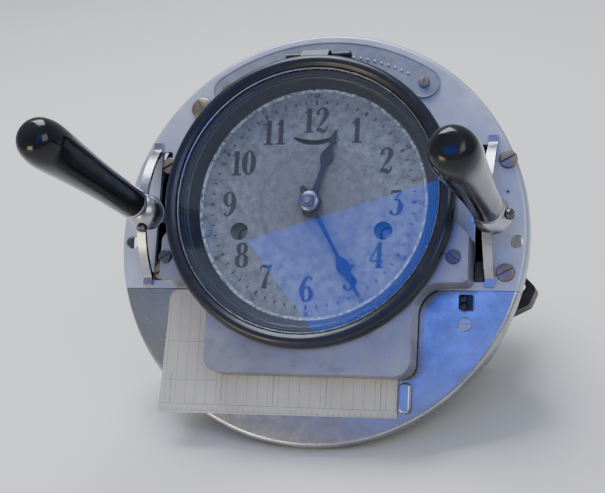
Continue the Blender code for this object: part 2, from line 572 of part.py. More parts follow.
def motion_work(root, centre):
    """The cannon wheel on the centre arbor, the reduction to the hour hand and the type wheel's drive."""
    low, high = 3.0 * MM, 4.4 * MM
    join(centre, toothed(DIE_MODULE, DIE_TEETH, low, high))
    motion = (MOTION_AT.y - CLOCK_Y) * 2
    quick, slow = motion / (CANNON_LEAVES + MINUTE_TEETH), motion / (MINUTE_LEAVES + HOUR_TEETH)
    join(centre, toothed(quick, CANNON_LEAVES, high - 0.4 * MM, 6.6 * MM))

    clock, idler_at, die_at = (0, CLOCK_Y), (0, idler_y()), (0, PRINT_Y)
    first = meshing(0, DIE_TEETH, IDLER_TEETH, clock, idler_at)
    idler = piece("idler_wheel", toothed(DIE_MODULE, IDLER_TEETH, low, high, first), "brass", root,
                  (*idler_at, 0))
    cut(idler, drum(1.5 * MM + GAP, 0, 10 * MM, steps=10))
    first = meshing(first, IDLER_TEETH, DIE_TEETH, idler_at, die_at)
    die = piece("type_wheel", toothed(DIE_MODULE, DIE_TEETH, low, high, first), "brass", root, (*die_at, 0))
    join(die, drum(11 * MM, 2.4 * MM, 3.4 * MM, steps=24))
    cut(die, drum(1.5 * MM + GAP, 0, 10 * MM, steps=10))
    carrier = piece("type_carrier", block(-38 * MM, 38 * MM, -6 * MM, 6 * MM, 4.9 * MM, 6.7 * MM), "steel",
                    root, (*die_at, 0))
    join(carrier, drum(1.5 * MM, 2.9 * MM, 6 * MM, steps=16))

    first = meshing(0, CANNON_LEAVES, MINUTE_TEETH, clock, MOTION_AT)
    minute = piece("minute_wheel", toothed(quick, MINUTE_TEETH, 5.2 * MM, 6.4 * MM, first), "brass", root,
                   (*MOTION_AT, 0))
    join(minute, toothed(slow, MINUTE_LEAVES, 6 * MM, 9.2 * MM))
    cut(minute, drum(1.0 * MM + GAP, 0, 12 * MM, steps=12))
    first = meshing(0, MINUTE_LEAVES, HOUR_TEETH, MOTION_AT, clock)
    hour = piece("hour_wheel", toothed(slow, HOUR_TEETH, 7.2 * MM, 8.6 * MM, first), "brass", root,
                 (*clock, 0))
    join(hour, drum(3.0 * MM, 7.2 * MM, 14.9 * MM, steps=20))
    cut(hour, drum(ARBOR_R + 0.5 * MM, 0, 20 * MM, steps=16))


def movement(root, arbor):
    """The two plates with their pillars, both mainspring barrels, the train and the balance."""
    front = piece("movement_front_plate", drum(MOVEMENT_R, -22 * MM, -20 * MM, steps=36), "brass", root,
                  (0, CLOCK_Y, 0))
    pillars = [(20 * MM, -52.5 * MM), (-20 * MM, -52.5 * MM), (46 * MM, 27.5 * MM), (-46 * MM, 27.5 * MM)]
    for place in pillars:
        join(front, drum(2.5 * MM, -63.7 * MM, -3.3 * MM, place, 8))
    back = piece("movement_back_plate", drum(MOVEMENT_R, -66 * MM, -64 * MM, steps=36), "brass", root,
                 (0, CLOCK_Y, 0))
    clock = Vector((0, CLOCK_Y))
    for plate in (front, back):
        cut(plate, drum(ARBOR_R + GAP, -70 * MM, -10 * MM, steps=12))
        for at in (THIRD, ESCAPE, BALANCE):
            cut(plate, drum(1.0 * MM + GAP, -70 * MM, -10 * MM, at - clock, 10))
        for side in SIDE.values():
            cut(plate, drum(2.6 * MM + GAP, -70 * MM, -10 * MM, (side * BARREL_X, BARREL_Y - CLOCK_Y), 12))

    train = (THIRD - clock).length * 2 / (CENTRE_TEETH + THIRD_LEAVES)
    centre = piece("centre_wheel", toothed(train, CENTRE_TEETH, -40 * MM, -38.6 * MM), "brass", arbor)
    module = (Vector((BARREL_X, BARREL_Y)) - clock).length * 2 / (BARREL_TEETH + CENTRE_LEAVES)
    join(centre, toothed(module, CENTRE_LEAVES, -49.2 * MM, -45.2 * MM))
    join(centre, drum(ARBOR_R, -67 * MM, DIAL_Z + 8.4 * MM, steps=16))
    for name, side in SIDE.items():
        at = Vector((side * BARREL_X, BARREL_Y))
        first = meshing(0, CENTRE_LEAVES, BARREL_TEETH, clock, at)
        barrel = piece(f"mainspring_barrel_{name}",
                       toothed(module, BARREL_TEETH, -48.4 * MM, -46 * MM, first), "brass", root, (*at, 0))
        join(barrel, drum(30 * MM, -62 * MM, -48 * MM, steps=28))
        join(barrel, drum(2.6 * MM, -67 * MM, 3.0 * MM, steps=8))

    first = meshing(0, CENTRE_TEETH, THIRD_LEAVES, clock, THIRD)
    third = piece("third_wheel", toothed(train, THIRD_LEAVES, -41.2 * MM, -37.4 * MM, first), "steel", root,
                  (*THIRD, 0))
    train = (ESCAPE - THIRD).length * 2 / (THIRD_TEETH + ESCAPE_LEAVES)
    join(third, toothed(train, THIRD_TEETH, -34 * MM, -32.8 * MM))
    join(third, drum(1.0 * MM, -67 * MM, -18.5 * MM, steps=8))
    first = meshing(0, THIRD_TEETH, ESCAPE_LEAVES, THIRD, ESCAPE)
    escape = piece("escape_wheel", toothed(train, ESCAPE_LEAVES, -35.2 * MM, -31.6 * MM, first), "steel",
                   root, (*ESCAPE, 0))
    join(escape, prism([(r * cos(a), r * sin(a)) for i in range(15)
                        for r, a in ((6.2 * MM, tau * i / 15), (8.2 * MM, tau * (i + 0.1) / 15),
                                     (6.4 * MM, tau * (i + 0.5) / 15))], -29 * MM, -28 * MM))
    join(escape, drum(1.0 * MM, -67 * MM, -18.5 * MM, steps=8))

    balance = piece("balance_wheel", lathe([(10.2 * MM, -27.6 * MM), (12 * MM, -27.6 * MM),
                                            (12 * MM, -25.6 * MM), (10.2 * MM, -25.6 * MM)], 24),
                    "brass", root, (*BALANCE, 0))
    join(balance, block(-11 * MM, 11 * MM, -1.1 * MM, 1.1 * MM, -27.2 * MM, -26 * MM))
    join(balance, drum(1.0 * MM, -67 * MM, -18.5 * MM, steps=8))
    return centre


# ---------------------------------------------------------------- case and card

def case_outline(radius, low, high, steps=48):
    """A circle cut off straight below and above."""
    return [(x, max(low, min(high, y))) for x, y in circle(radius, steps, start=tau / steps / 2)]


def case(root):
    """The iron case: a shallow pot behind the whole plate and a deep middle for the movement."""
    inner = CASE_R - CASE_WALL
    top = -PLATE_T - GAP
    shell = piece("case", prism(circle(CASE_R, 48), POT_BACK, top), "black_iron", root)
    join(shell, drum(103.6 * MM, top - 4 * MM, top, steps=48))
    join(shell, prism(case_outline(CASE_R, CASE_LOW, CASE_HIGH), CASE_BACK, top - 6 * MM))
    cut(shell, prism(circle(inner, 40), POT_BACK + CASE_WALL, 5 * MM))
    cut(shell, prism(case_outline(inner, CASE_LOW + CASE_WALL, CASE_HIGH - CASE_WALL),
                     CASE_BACK - 5 * MM, 5 * MM))
    lip, play = 1.5 * MM, 0.6 * MM
    cover = piece("rear_cover", prism(case_outline(inner + lip, CASE_LOW + lip, CASE_HIGH - lip),
                                      -84.3 * MM, CASE_BACK - GAP), "black_iron", root)
    plug = case_outline(inner - play, CASE_LOW + CASE_WALL + play, CASE_HIGH - CASE_WALL - play)
    join(cover, prism(plug, CASE_BACK - 1 * MM, CASE_BACK + 2 * MM))


def case_ears(root):
    """The drilled fixing ears, one seated on each side of the case's round wall."""
    ear = rounded([(88, -6, 0), (100, -8, 4), (116, -24, 4), (112, -33, 4), (102, -38, 4), (88, -40, 0)])
    for name, side in SIDE.items():
        outline = [(side * x * MM, y * MM) for x, y in ear]
        lug = piece(f"case_ear_{name}", prism(outline, -40 * MM, -26 * MM), "black_iron", root)
        cut(lug, drum(CASE_R + GAP, -60 * MM, -20 * MM, steps=96))
        cut(lug, drum(3 * MM, -60 * MM, -20 * MM, (side * 107 * MM, -23 * MM), 16))


def case_foot(root):
    """The rail under the case's rear edge, whose sole lies on the standing surface."""
    front, rear, seat = -70 * MM, -81.7 * MM, CASE_LOW - GAP
    sole = [(seat, front), (seat, rear), (floor_y(rear), rear), (floor_y(front), front)]
    piece("case_foot", side_prism(sole, -54 * MM, 54 * MM), "black_iron", root)


def ticket_card(root):
    """The card in the throat, a little askew, held against the guide block."""
    card = rounded([(-84.4, -98.6, 0.8), (49.0, -97.4, 0.8), (48.6, -31.4, 0.8), (-81.6, -31.2, 5)], 3)
    piece("ticket_card", prism([(x * MM, y * MM) for x, y in card], GAP, 0.75 * MM), "paper", root)


def ink_ribbon(root):
    low, high = PRINT_Y - 6.5 * MM, PRINT_Y + 6.5 * MM
    piece("ink_ribbon", block(-45 * MM, 45 * MM, low, high, 1.4 * MM, 1.7 * MM), "ribbon", root)


def stand_on_origin(root):
    """Centres the whole stamp on the origin and stands it on z = 0."""
    bpy.context.view_layer.update()
    graph = bpy.context.evaluated_depsgraph_get()
    low, high = Vector((9, 9, 9)), Vector((-9, -9, -9))
    for thing in bpy.data.objects:
        if thing.type == "EMPTY" or thing.hide_render:
            continue
        done = thing.evaluated_get(graph)
        mesh = done.to_mesh()
        for vert in mesh.vertices:
            point = done.matrix_world @ vert.co
            low = Vector(map(min, low, point))
            high = Vector(map(max, high, point))
        done.to_mesh_clear()
    root.location -= Vector(((low.x + high.x) / 2, (low.y + high.y) / 2, low.z))


def main():
    clear_scene()
    root = empty("stamp", (0, 0, 0))
    root.rotation_euler = (pi / 2 - LEAN, 0, 0)
    arbor = empty("centre_arbor_axis", (0, CLOCK_Y, 0), root)
    face_plate(root)
    card_table(root)
    top_nameplate(root)
    head_casting(root)
    bezel(root)
    dial(root)
    hands(root, arbor)
    lock_barrel(root)
    for name in SIDE:
        guide_arch(root, name)
        lever(root, name)
    centre = movement(root, arbor)
    motion_work(root, centre)
    case(root)
    case_ears(root)
    case_foot(root)
    ticket_card(root)
    ink_ribbon(root)
    stand_on_origin(root)


main()
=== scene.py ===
"""The looks of a two-lever elapsed-time card stamp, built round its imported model.

Every piece is modelled in millimetres in the cover plate's own frame: x to the right, y up the plate and z
out of its face.  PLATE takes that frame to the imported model's.
"""

import bmesh
import bpy
import json
from math import asin, cos, pi, radians, sin, sqrt, tau
from mathutils import Matrix, Vector


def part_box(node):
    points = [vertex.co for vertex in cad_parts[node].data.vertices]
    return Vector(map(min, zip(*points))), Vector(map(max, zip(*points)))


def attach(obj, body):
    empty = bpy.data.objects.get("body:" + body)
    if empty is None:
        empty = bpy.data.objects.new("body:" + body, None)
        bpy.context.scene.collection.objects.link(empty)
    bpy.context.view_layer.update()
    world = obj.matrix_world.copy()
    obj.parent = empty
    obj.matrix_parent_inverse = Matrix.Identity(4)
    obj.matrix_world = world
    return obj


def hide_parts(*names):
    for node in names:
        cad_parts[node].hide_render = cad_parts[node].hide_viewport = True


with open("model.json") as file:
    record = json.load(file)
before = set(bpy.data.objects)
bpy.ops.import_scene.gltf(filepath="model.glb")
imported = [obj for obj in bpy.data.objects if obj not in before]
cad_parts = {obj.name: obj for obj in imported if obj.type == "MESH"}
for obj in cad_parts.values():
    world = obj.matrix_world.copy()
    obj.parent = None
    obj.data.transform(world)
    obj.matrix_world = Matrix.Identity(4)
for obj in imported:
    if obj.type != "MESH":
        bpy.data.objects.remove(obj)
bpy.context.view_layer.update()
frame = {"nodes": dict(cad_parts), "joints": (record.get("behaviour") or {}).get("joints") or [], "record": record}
JOINTS = {joint["name"]: joint for joint in frame["joints"]}
SIDE = {"left": -1, "right": 1}

MM = 0.001
GAP = 0.3                            # clearance between pieces that meet
FAR = 130.0                          # past the cover plate's rim, for cutters
CREASE = radians(32)                 # the least angle of an edge that is shaded sharp and bevelled
SCREW_SLOT = 0.24                    # a driver slot's width over its screw's radius
CLOCK_Y = 14.5                       # the clock's centre above the plate's centre

# Cover plate
PLATE_R = (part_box("face_plate")[1].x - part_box("face_plate")[0].x) / 2 / MM
PLATE_T = 3.0
SKIRT_DEPTH = 10.0
RIM_ROUND = 2.4
SPLIT_Y = -30.0                      # where the painted plate ends and the nickel table begins
HOLE_X, HOLE_Y, HOLE_R = 108.0, -4.0, 3.5
LOCK_X, LOCK_Y = -71.0, 73.3
LEAN = radians(36)                   # how far the plate leans back from upright

# Clock
DIAL_Z, DIAL_R = 12.0, 68.0
HEAD_TOP, HEAD_R = 19.3, 77.0
HINGE_Y, HINGE_Z = 96.5, 14.2
HOUR_ANGLE, MINUTE_ANGLE = 17, 150   # degrees clockwise from 12
NUMERAL_R, NUMERAL_H = 46.3, 13.8
NUMERAL_WEIGHT, HAIRLINE = 1.3, 0.034    # how much bolder than drawn, and the least half width
TRACK_R = 56.3
MINUTES_R, MINUTES_H = 59.9, 2.6      # the small figures outside the track
WINDING_X, WINDING_Y = 40.0, -0.5

# Levers
PIVOT_Y, PIVOT_Z = 12.5, -32.0
ARCH_OUT, ARCH_T, ARCH_W = 50.0, 2.5, 5.0
ARM_INSET = 5.5                      # from the middle of an arch to the middle of its lever's arm
BALL_R, BALL_AT = 10.0, 51.0
ARCH_X = {"left": -96.0, "right": 95.0}
BALL_X = {"left": -92.6, "right": 98.3}
REST_TILT = {"left": radians(4.0), "right": radians(7.5)}
SPLAY = {"left": radians(-5.5), "right": radians(-0.8)}
GRIP_CRANK = radians(9.7)
HUB_SCREW_TURN, HUB_SCREW = radians(62), {"left": "X", "right": "Y"}
THROAT = 2.4

# Case
CASE_R, CASE_WALL = 101.0, 2.6
CASE_LOW, CASE_HIGH = -60.0, 78.0
CASE_BACK, POT_BACK = -82.0, -28.0
FLANGE_R = 103.6
EAR_FRONT, EAR_BACK = -26.0, -40.0
EAR_HOLE_X, EAR_HOLE_Y, EAR_HOLE_R = 107.0, -23.0, 3.0
FOOT_FRONT, FOOT_BACK, FOOT_HALF = -70.0, -81.7, 54.0
COVER_BACK, COVER_LIP, COVER_PLAY = -84.3, 1.5, 0.6


# -------------------- frame and geometry

def plate_frame():
    """The cover plate's frame, from the clock's own turning axis."""
    turn = JOINTS["centre_turn"]
    across, normal = Vector((1, 0, 0)), Vector(turn["axis"]).normalized()
    up = normal.cross(across)
    made = Matrix((across, up, normal)).transposed().to_4x4()
    made.translation = Vector(turn["pos_m"]) - up * CLOCK_Y * MM
    return made


PLATE = plate_frame()


def place(x=0.0, y=0.0, z=0.0, turn=0.0, axis="Z"):
    return Matrix.Translation(Vector((x, y, z)) * MM) @ Matrix.Rotation(turn, 4, axis)


def prism(outline, low, high):
    """A flat outline in x and y, extruded from low to high along z."""
    bm = bmesh.new()
    face = bm.faces.new([bm.verts.new((x, y, low)) for x, y in outline])
    raised = bmesh.ops.extrude_face_region(bm, geom=[face])["geom"]
    lifted = [v for v in raised if isinstance(v, bmesh.types.BMVert)]
    bmesh.ops.translate(bm, verts=lifted, vec=(0, 0, high - low))
    return bm


def lathe(profile, steps=128, centre=(0, 0)):
    """A closed (radius, z) profile turned about z.  A radius of 0 lies on the axis."""
    bm = bmesh.new()
    rings = []
    for radius, z in profile:
        count = 1 if radius < 1e-9 else steps
        rings.append([bm.verts.new((centre[0] + radius * cos(tau * i / steps),
                                    centre[1] + radius * sin(tau * i / steps), z)) for i in range(count)])
    for a, b in zip(rings, rings[1:] + rings[:1]):
        if len(a) == 1 and len(b) == 1:
            continue
        for i in range(steps):
            j = (i + 1) % steps
            corners = [a[i % len(a)], a[j % len(a)], b[j % len(b)], b[i % len(b)]]
            bm.faces.new(list(dict.fromkeys(corners)))
    return bm


def circle(radius, steps, centre=(0, 0), start=0.0):
    return [(centre[0] + radius * cos(start + tau * i / steps),
             centre[1] + radius * sin(start + tau * i / steps)) for i in range(steps)]


def arc(radius, start, end, steps, centre=(0, 0)):
    return [(centre[0] + radius * cos(start + (end - start) * i / steps),
             centre[1] + radius * sin(start + (end - start) * i / steps)) for i in range(steps + 1)]


def rounded(corners, steps=10):
    """An outline from (x, y, radius) corners, each rounded with an arc unless its radius is 0."""
    points = []
    for i, (x, y, radius) in enumerate(corners):
        here = Vector((x, y))
        if radius <= 0:
            points.append((x, y))
            continue
        before = (Vector(corners[i - 1][:2]) - here).normalized()
        after = (Vector(corners[(i + 1) % len(corners)][:2]) - here).normalized()
        half = before.angle(after) / 2
        centre = here + (before + after).normalized() * radius / sin(half)
        reach = sqrt((centre - here).length_squared - radius ** 2)
        start = here + before * reach - centre
        sweep = start.angle_signed(here + after * reach - centre)
        for k in range(steps + 1):
            spoke = start.copy()
            spoke.rotate(Matrix.Rotation(-sweep * k / steps, 2))
            points.append(tuple(centre + spoke))
    return points


def rounded_box(x0, x1, y0, y1, radius, steps):
    return rounded([(x0, y0, radius), (x1, y0, radius), (x1, y1, radius), (x0, y1, radius)], steps)


def smooth_path(points, steps=8):
    """A Catmull-Rom path through points of any length of tuple."""
    path = []
    for i in range(len(points) - 1):
        a = points[max(i - 1, 0)]
        b, c = points[i], points[i + 1]
        d = points[min(i + 2, len(points) - 1)]
        for k in range(steps):
            t = k / steps
            path.append(tuple(0.5 * (2 * q + (r - p) * t + (2 * p - 5 * q + 4 * r - s) * t * t
                                     + (3 * q - p - 3 * r + s) * t ** 3) for p, q, r, s in zip(a, b, c, d)))
    return path + [points[-1]]


def drum(radius, low, high, centre=(0, 0), steps=64):
    return prism(circle(radius, steps, centre, 0.013), low, high)


def block(x0, x1, y0, y1, z0, z1):
    return prism([(x0, y0), (x1, y0), (x1, y1), (x0, y1)], z0, z1)


def span(a, b, *rest):
    """A block whose first two x values may come in either order."""
    return block(min(a, b), max(a, b), *rest)


def side_prism(outline, x0, x1):
    """An outline in y and z, extruded along x."""
    bm = prism(outline, min(x0, x1), max(x0, x1))
    for vert in bm.verts:
        y, z, x = vert.co
        vert.co = (x, y, z)
    return bm


def rod_x(radius, x0, x1, y=0.0, z=0.0, steps=48):
    return side_prism(circle(radius, steps, (y, z), 0.01), x0, x1)


def moved(bm, matrix):
    bmesh.ops.transform(bm, matrix=matrix, verts=bm.verts)
    return bm


def linked(name, data):
    """A new object in the scene."""
    made = bpy.data.objects.new(name, data)
    bpy.context.scene.collection.objects.link(made)
    return made


def raw(name, bm, where):
    """An object from a bmesh in millimetres, which is used up."""
    bmesh.ops.recalc_face_normals(bm, faces=bm.faces)
    if bm.calc_volume(signed=True) < 0:
        bmesh.ops.reverse_faces(bm, faces=bm.faces)
    mesh = bpy.data.meshes.new(name)
    bmesh.ops.scale(bm, vec=(MM, MM, MM), verts=bm.verts)
    bm.to_mesh(mesh)
    bm.free()
    made = linked(name, mesh)
    made.matrix_world = PLATE @ where
    return made


def carve(thing, joins, cuts):
    """Joins and then cuts with helper solids in the object's own frame, and applies the result."""
    helpers = []
    for operation, solids in (("UNION", joins), ("DIFFERENCE", cuts)):
        for solid in solids:
            helper = raw("helper", solid, Matrix.Identity(4))
            helper.matrix_world = thing.matrix_world
            step = thing.modifiers.new(operation, "BOOLEAN")
            step.operation = operation
            step.solver = "EXACT"
            step.object = helper
            helpers.append(helper)
    bpy.context.view_layer.update()
    done = thing.evaluated_get(bpy.context.evaluated_depsgraph_get())
    mesh = bpy.data.meshes.new_from_object(done)
    thing.modifiers.clear()
    thing.data = mesh
    for helper in helpers:
        bpy.data.objects.remove(helper, do_unlink=True)


def shape(name, bm, look, body, node=None, where=Matrix.Identity(4), joins=(), cuts=(), bevel=0.0,
          segments=3, upright=False):
    """One finished piece: its solid, its material, the body that it rides on and the node it stands for.

    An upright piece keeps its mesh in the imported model's axes, so that its box is no larger than itself.
    """
    made = raw(name, bm, where)
    if joins or cuts:
        carve(made, joins, cuts)
    mesh = made.data
    if upright:
        mesh.transform(made.matrix_world)
        made.matrix_world = Matrix.Identity(4)
    mesh.materials.clear()
    mesh.materials.append(look.material)
    mesh.shade_smooth()
    mesh.set_sharp_from_angle(angle=CREASE)
    if bevel:
        step = made.modifiers.new("Edges", "BEVEL")
        step.width = bevel * MM
        step.segments = segments
        step.limit_method = "ANGLE"
        step.angle_limit = CREASE
        step.harden_normals = True
    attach(made, body)
    if node:
        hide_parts(node)
    return made


# -------------------- materials

class Look:
    """A Principled material with short names for the texture nodes that feed it."""

    def __init__(self, slot, name=None):
        self.slot = slot
        self.material = bpy.data.materials.new(name or slot)
        self.material.use_nodes = True
        self.tree = self.material.node_tree
        self.shader = self.tree.nodes["Principled BSDF"]
        self.place = self.add("TexCoord").outputs["Object"]

    def add(self, kind, **inputs):
        made = self.tree.nodes.new("ShaderNode" + kind)
        for name, value in inputs.items():
            self.feed(made.inputs[int(name[1:]) if name[1:].isdigit() else name], value)
        return made

    def feed(self, socket, value):
        if isinstance(value, bpy.types.NodeSocket):
            self.tree.links.new(value, socket)
        elif isinstance(value, tuple) and len(value) == 3 and socket.type == "RGBA":
            socket.default_value = (*value, 1.0)
        else:
            socket.default_value = value

    def set(self, name, value):
        self.feed(self.shader.inputs[name], value)

    def scaled(self, x, y, z):
        made = self.add("VectorMath", _0=self.place, _1=(x, y, z))
        made.operation = "MULTIPLY"
        return made.outputs[0]

    def noise(self, scale, detail=3.0, rough=0.5, vector=None):
        return self.add("TexNoise", Vector=vector or self.place, Scale=scale, Detail=detail,
                        Roughness=rough).outputs[0]

    def wander(self, scale, low, high, detail=4):
        """Roughness that drifts between two values."""
        self.set("Roughness", self.spread(self.noise(scale, detail), 0.3, 0.7, low, high))

    def spread(self, value, low, high, to_low=0.0, to_high=1.0):
        made = self.add("MapRange", _0=value, _1=low, _2=high, _3=to_low, _4=to_high)
        return made.outputs[0]

    def math(self, operation, a, b=0.0):
        made = self.add("Math", _0=a, _1=b)
        made.operation = operation
        return made.outputs[0]

    def mix(self, share, a, b):
        made = self.add("Mix")
        made.data_type = "RGBA"
        for index, value in ((0, share), (6, a), (7, b)):
            self.feed(made.inputs[index], value)
        return made.outputs[2]

    def bump(self, height, strength, distance=0.0002, under=None):
        made = self.add("Bump", Strength=strength, Distance=distance, Height=height)
        if under:
            self.feed(made.inputs["Normal"], under)
        return made.outputs[0]


def plate_paint():
    look = Look("plate_paint")
    cloud = look.spread(look.noise(22, 5, 0.6), 0.32, 0.68)
    # the blue in both of these tones is a painted cast of cool light, not the paint's own colour
    tone = look.mix(cloud, (0.30, 0.315, 0.40), (0.43, 0.45, 0.56))
    wear = look.spread(look.noise(230, 4, 0.75), 0.66, 0.72)
    chips = look.spread(look.noise(620, 2, 0.6), 0.755, 0.775)
    marks = look.math("MULTIPLY", wear, look.spread(look.noise(45, 2), 0.5, 0.7))
    tone = look.mix(look.math("MULTIPLY", marks, 0.55), tone, (0.20, 0.19, 0.20))
    look.set("Base Color", look.mix(chips, tone, (0.035, 0.03, 0.03)))
    look.set("Metallic", 0.35)
    look.wander(140, 0.30, 0.50)
    grain = look.bump(look.noise(2600, 2), 0.10, 0.0001)
    look.set("Normal", look.bump(look.math("SUBTRACT", 1.0, chips), 0.5, 0.0002, grain))
    return look


def nickel():
    look = Look("nickel")
    cloud = look.spread(look.noise(38, 6, 0.65), 0.35, 0.7)
    tone = look.mix(cloud, (0.42, 0.42, 0.46), (0.25, 0.235, 0.24))
    spots = look.spread(look.noise(420, 4, 0.7), 0.68, 0.74)
    look.set("Base Color", look.mix(look.math("MULTIPLY", spots, 0.6), tone, (0.16, 0.12, 0.09)))
    look.set("Metallic", 1.0)
    rub = look.spread(look.noise(150, 6, 0.7), 0.3, 0.75, 0.14, 0.26)
    look.set("Roughness", look.math("ADD", rub, look.spread(cloud, 0.0, 1.0, 0.0, 0.14)))
    look.set("Normal", look.bump(look.noise(420, 5, 0.6, look.scaled(4, 1, 1)), 0.025, 0.0001))
    return look


def aluminium():
    look = Look("aluminium")
    cloud = look.spread(look.noise(30, 5, 0.6), 0.3, 0.7)
    tone = look.mix(cloud, (0.20, 0.205, 0.23), (0.29, 0.30, 0.33))
    pits = look.spread(look.noise(520, 3, 0.65), 0.66, 0.74)
    stain = look.spread(look.noise(75, 5, 0.7), 0.56, 0.72)
    tone = look.mix(look.math("MULTIPLY", stain, 0.45), tone, (0.12, 0.115, 0.11))
    look.set("Base Color", look.mix(look.math("MULTIPLY", pits, 0.75), tone, (0.075, 0.07, 0.07)))
    look.set("Metallic", 0.65)
    look.wander(200, 0.36, 0.54)
    grain = look.bump(look.noise(1500, 4, 0.6), 0.22, 0.00015)
    look.set("Normal", look.bump(look.math("SUBTRACT", 1.0, pits), 0.45, 0.0002, grain))
    return look


def black_enamel():
    look = Look("black_enamel")
    dust = look.spread(look.noise(1400, 3, 0.7), 0.70, 0.78)
    rubbed = look.spread(look.noise(70, 6, 0.7), 0.55, 0.75)
    tone = look.mix(look.math("MULTIPLY", rubbed, 0.5), (0.009, 0.010, 0.017), (0.028, 0.030, 0.044))
    look.set("Base Color", look.mix(look.math("MULTIPLY", dust, 0.5), tone, (0.16, 0.17, 0.20)))
    look.set("Roughness", look.spread(look.noise(90, 5, 0.6), 0.3, 0.75, 0.26, 0.46))
    look.set("Specular IOR Level", 0.32)
    look.set("Coat Weight", 0.12)
    look.set("Coat Roughness", 0.12)
    look.set("Normal", look.bump(look.noise(330, 3), 0.10, 0.0002))
    return look


def black_iron():
    look = Look("black_iron")
    rust = look.spread(look.noise(60, 6, 0.7), 0.55, 0.75)
    tone = look.mix(look.spread(look.noise(300, 4), 0.3, 0.7), (0.012, 0.011, 0.012), (0.035, 0.032, 0.031))
    look.set("Base Color", look.mix(look.math("MULTIPLY", rust, 0.45), tone, (0.07, 0.038, 0.022)))
    look.set("Metallic", 0.2)
    look.wander(240, 0.42, 0.66)
    cast = look.bump(look.noise(900, 5, 0.65), 0.35, 0.0003)
    look.set("Normal", look.bump(look.noise(120, 3), 0.25, 0.0006, cast))
    return look


def silvered():
    """The dial: tarnished silvering, browner and duller round the arbor, with one faint ring."""
    look = Look("silvered")
    flat = look.scaled(1, 1, 0)
    radius = look.add("VectorMath", _0=flat)
    radius.operation = "LENGTH"
    radius = radius.outputs["Value"]
    blotch = look.noise(190, 9, 0.75)
    speckle = look.spread(look.noise(900, 5, 0.7), 0.42, 0.62)
    silver = look.mix(look.spread(blotch, 0.34, 0.66), (0.065, 0.064, 0.076), (0.175, 0.195, 0.24))
    silver = look.mix(look.math("MULTIPLY", speckle, 0.3), silver, (0.055, 0.05, 0.055))
    inner = look.spread(radius, 0.0, 0.040, 0.75, 0.0)
    tone = look.mix(inner, silver, (0.072, 0.062, 0.068))
    ring = look.math("ABSOLUTE", look.math("SUBTRACT", radius, 0.0285))
    ring = look.math("MULTIPLY", look.spread(ring, 0.0004, 0.0022, 0.45, 0.0), look.spread(blotch, 0.4, 0.6))
    look.set("Base Color", look.mix(ring, tone, (0.03, 0.03, 0.034)))
    look.set("Metallic", 0.35)
    look.set("Roughness", look.spread(blotch, 0.35, 0.65, 0.62, 0.42))
    threads = look.noise(500, 3, 0.5, look.scaled(6, 1, 1))
    look.set("Normal", look.bump(threads, 0.12, 0.0001))
    return look


def metal(slot, clean, dull, rough_low, rough_high, metallic=1.0, name=None, grain=0.12):
    """Plain turned or filed metal: cloudy tarnish, fine brushing and a few dark specks."""
    look = Look(slot, name)
    cloud = look.spread(look.noise(110, 6, 0.7), 0.35, 0.7)
    specks = look.spread(look.noise(1100, 3, 0.6), 0.66, 0.74)
    tone = look.mix(cloud, clean, dull)
    dark = tuple(channel * 0.3 for channel in dull)
    look.set("Base Color", look.mix(look.math("MULTIPLY", specks, 0.7), tone, dark))
    look.set("Metallic", metallic)
    look.wander(260, rough_low, rough_high)
    look.set("Normal", look.bump(look.noise(700, 4, 0.6, look.scaled(1, 5, 1)), grain, 0.0001))
    return look


def grip_black():
    look = Look("grip_black")
    smear = look.spread(look.noise(45, 6, 0.7), 0.45, 0.72)
    nicks = look.spread(look.noise(520, 3, 0.7), 0.725, 0.76)
    tone = look.mix(smear, (0.0045, 0.0045, 0.006), (0.014, 0.013, 0.012))
    look.set("Base Color", look.mix(look.math("MULTIPLY", nicks, 0.6), tone, (0.12, 0.11, 0.10)))
    look.set("Roughness", look.spread(smear, 0.0, 1.0, 0.10, 0.30))
    look.set("Specular IOR Level", 0.30)
    look.set("Coat Weight", 0.08)
    look.set("Coat Roughness", 0.05)
    scratch = look.noise(260, 5, 0.7, look.scaled(1, 1, 0.12))
    look.set("Normal", look.bump(scratch, 0.03, 0.0002))
    return look


def glass():
    """Clear glass that lets lamps through, with faint dust in its roughness."""
    look = Look("glass")
    look.set("Base Color", (0.93, 0.96, 1.0))
    look.set("Transmission Weight", 1.0)
    look.set("IOR", 1.5)
    look.set("Roughness", look.spread(look.noise(160, 5, 0.7), 0.45, 0.8, 0.0, 0.035))
    clear = look.add("BsdfTransparent", Color=(0.93, 0.95, 0.98))
    rays = look.add("LightPath").outputs["Is Shadow Ray"]
    both = look.add("MixShader", _0=rays, _1=look.shader.outputs[0], _2=clear.outputs[0])
    look.feed(look.tree.nodes["Material Output"].inputs["Surface"], both.outputs[0])
    return look


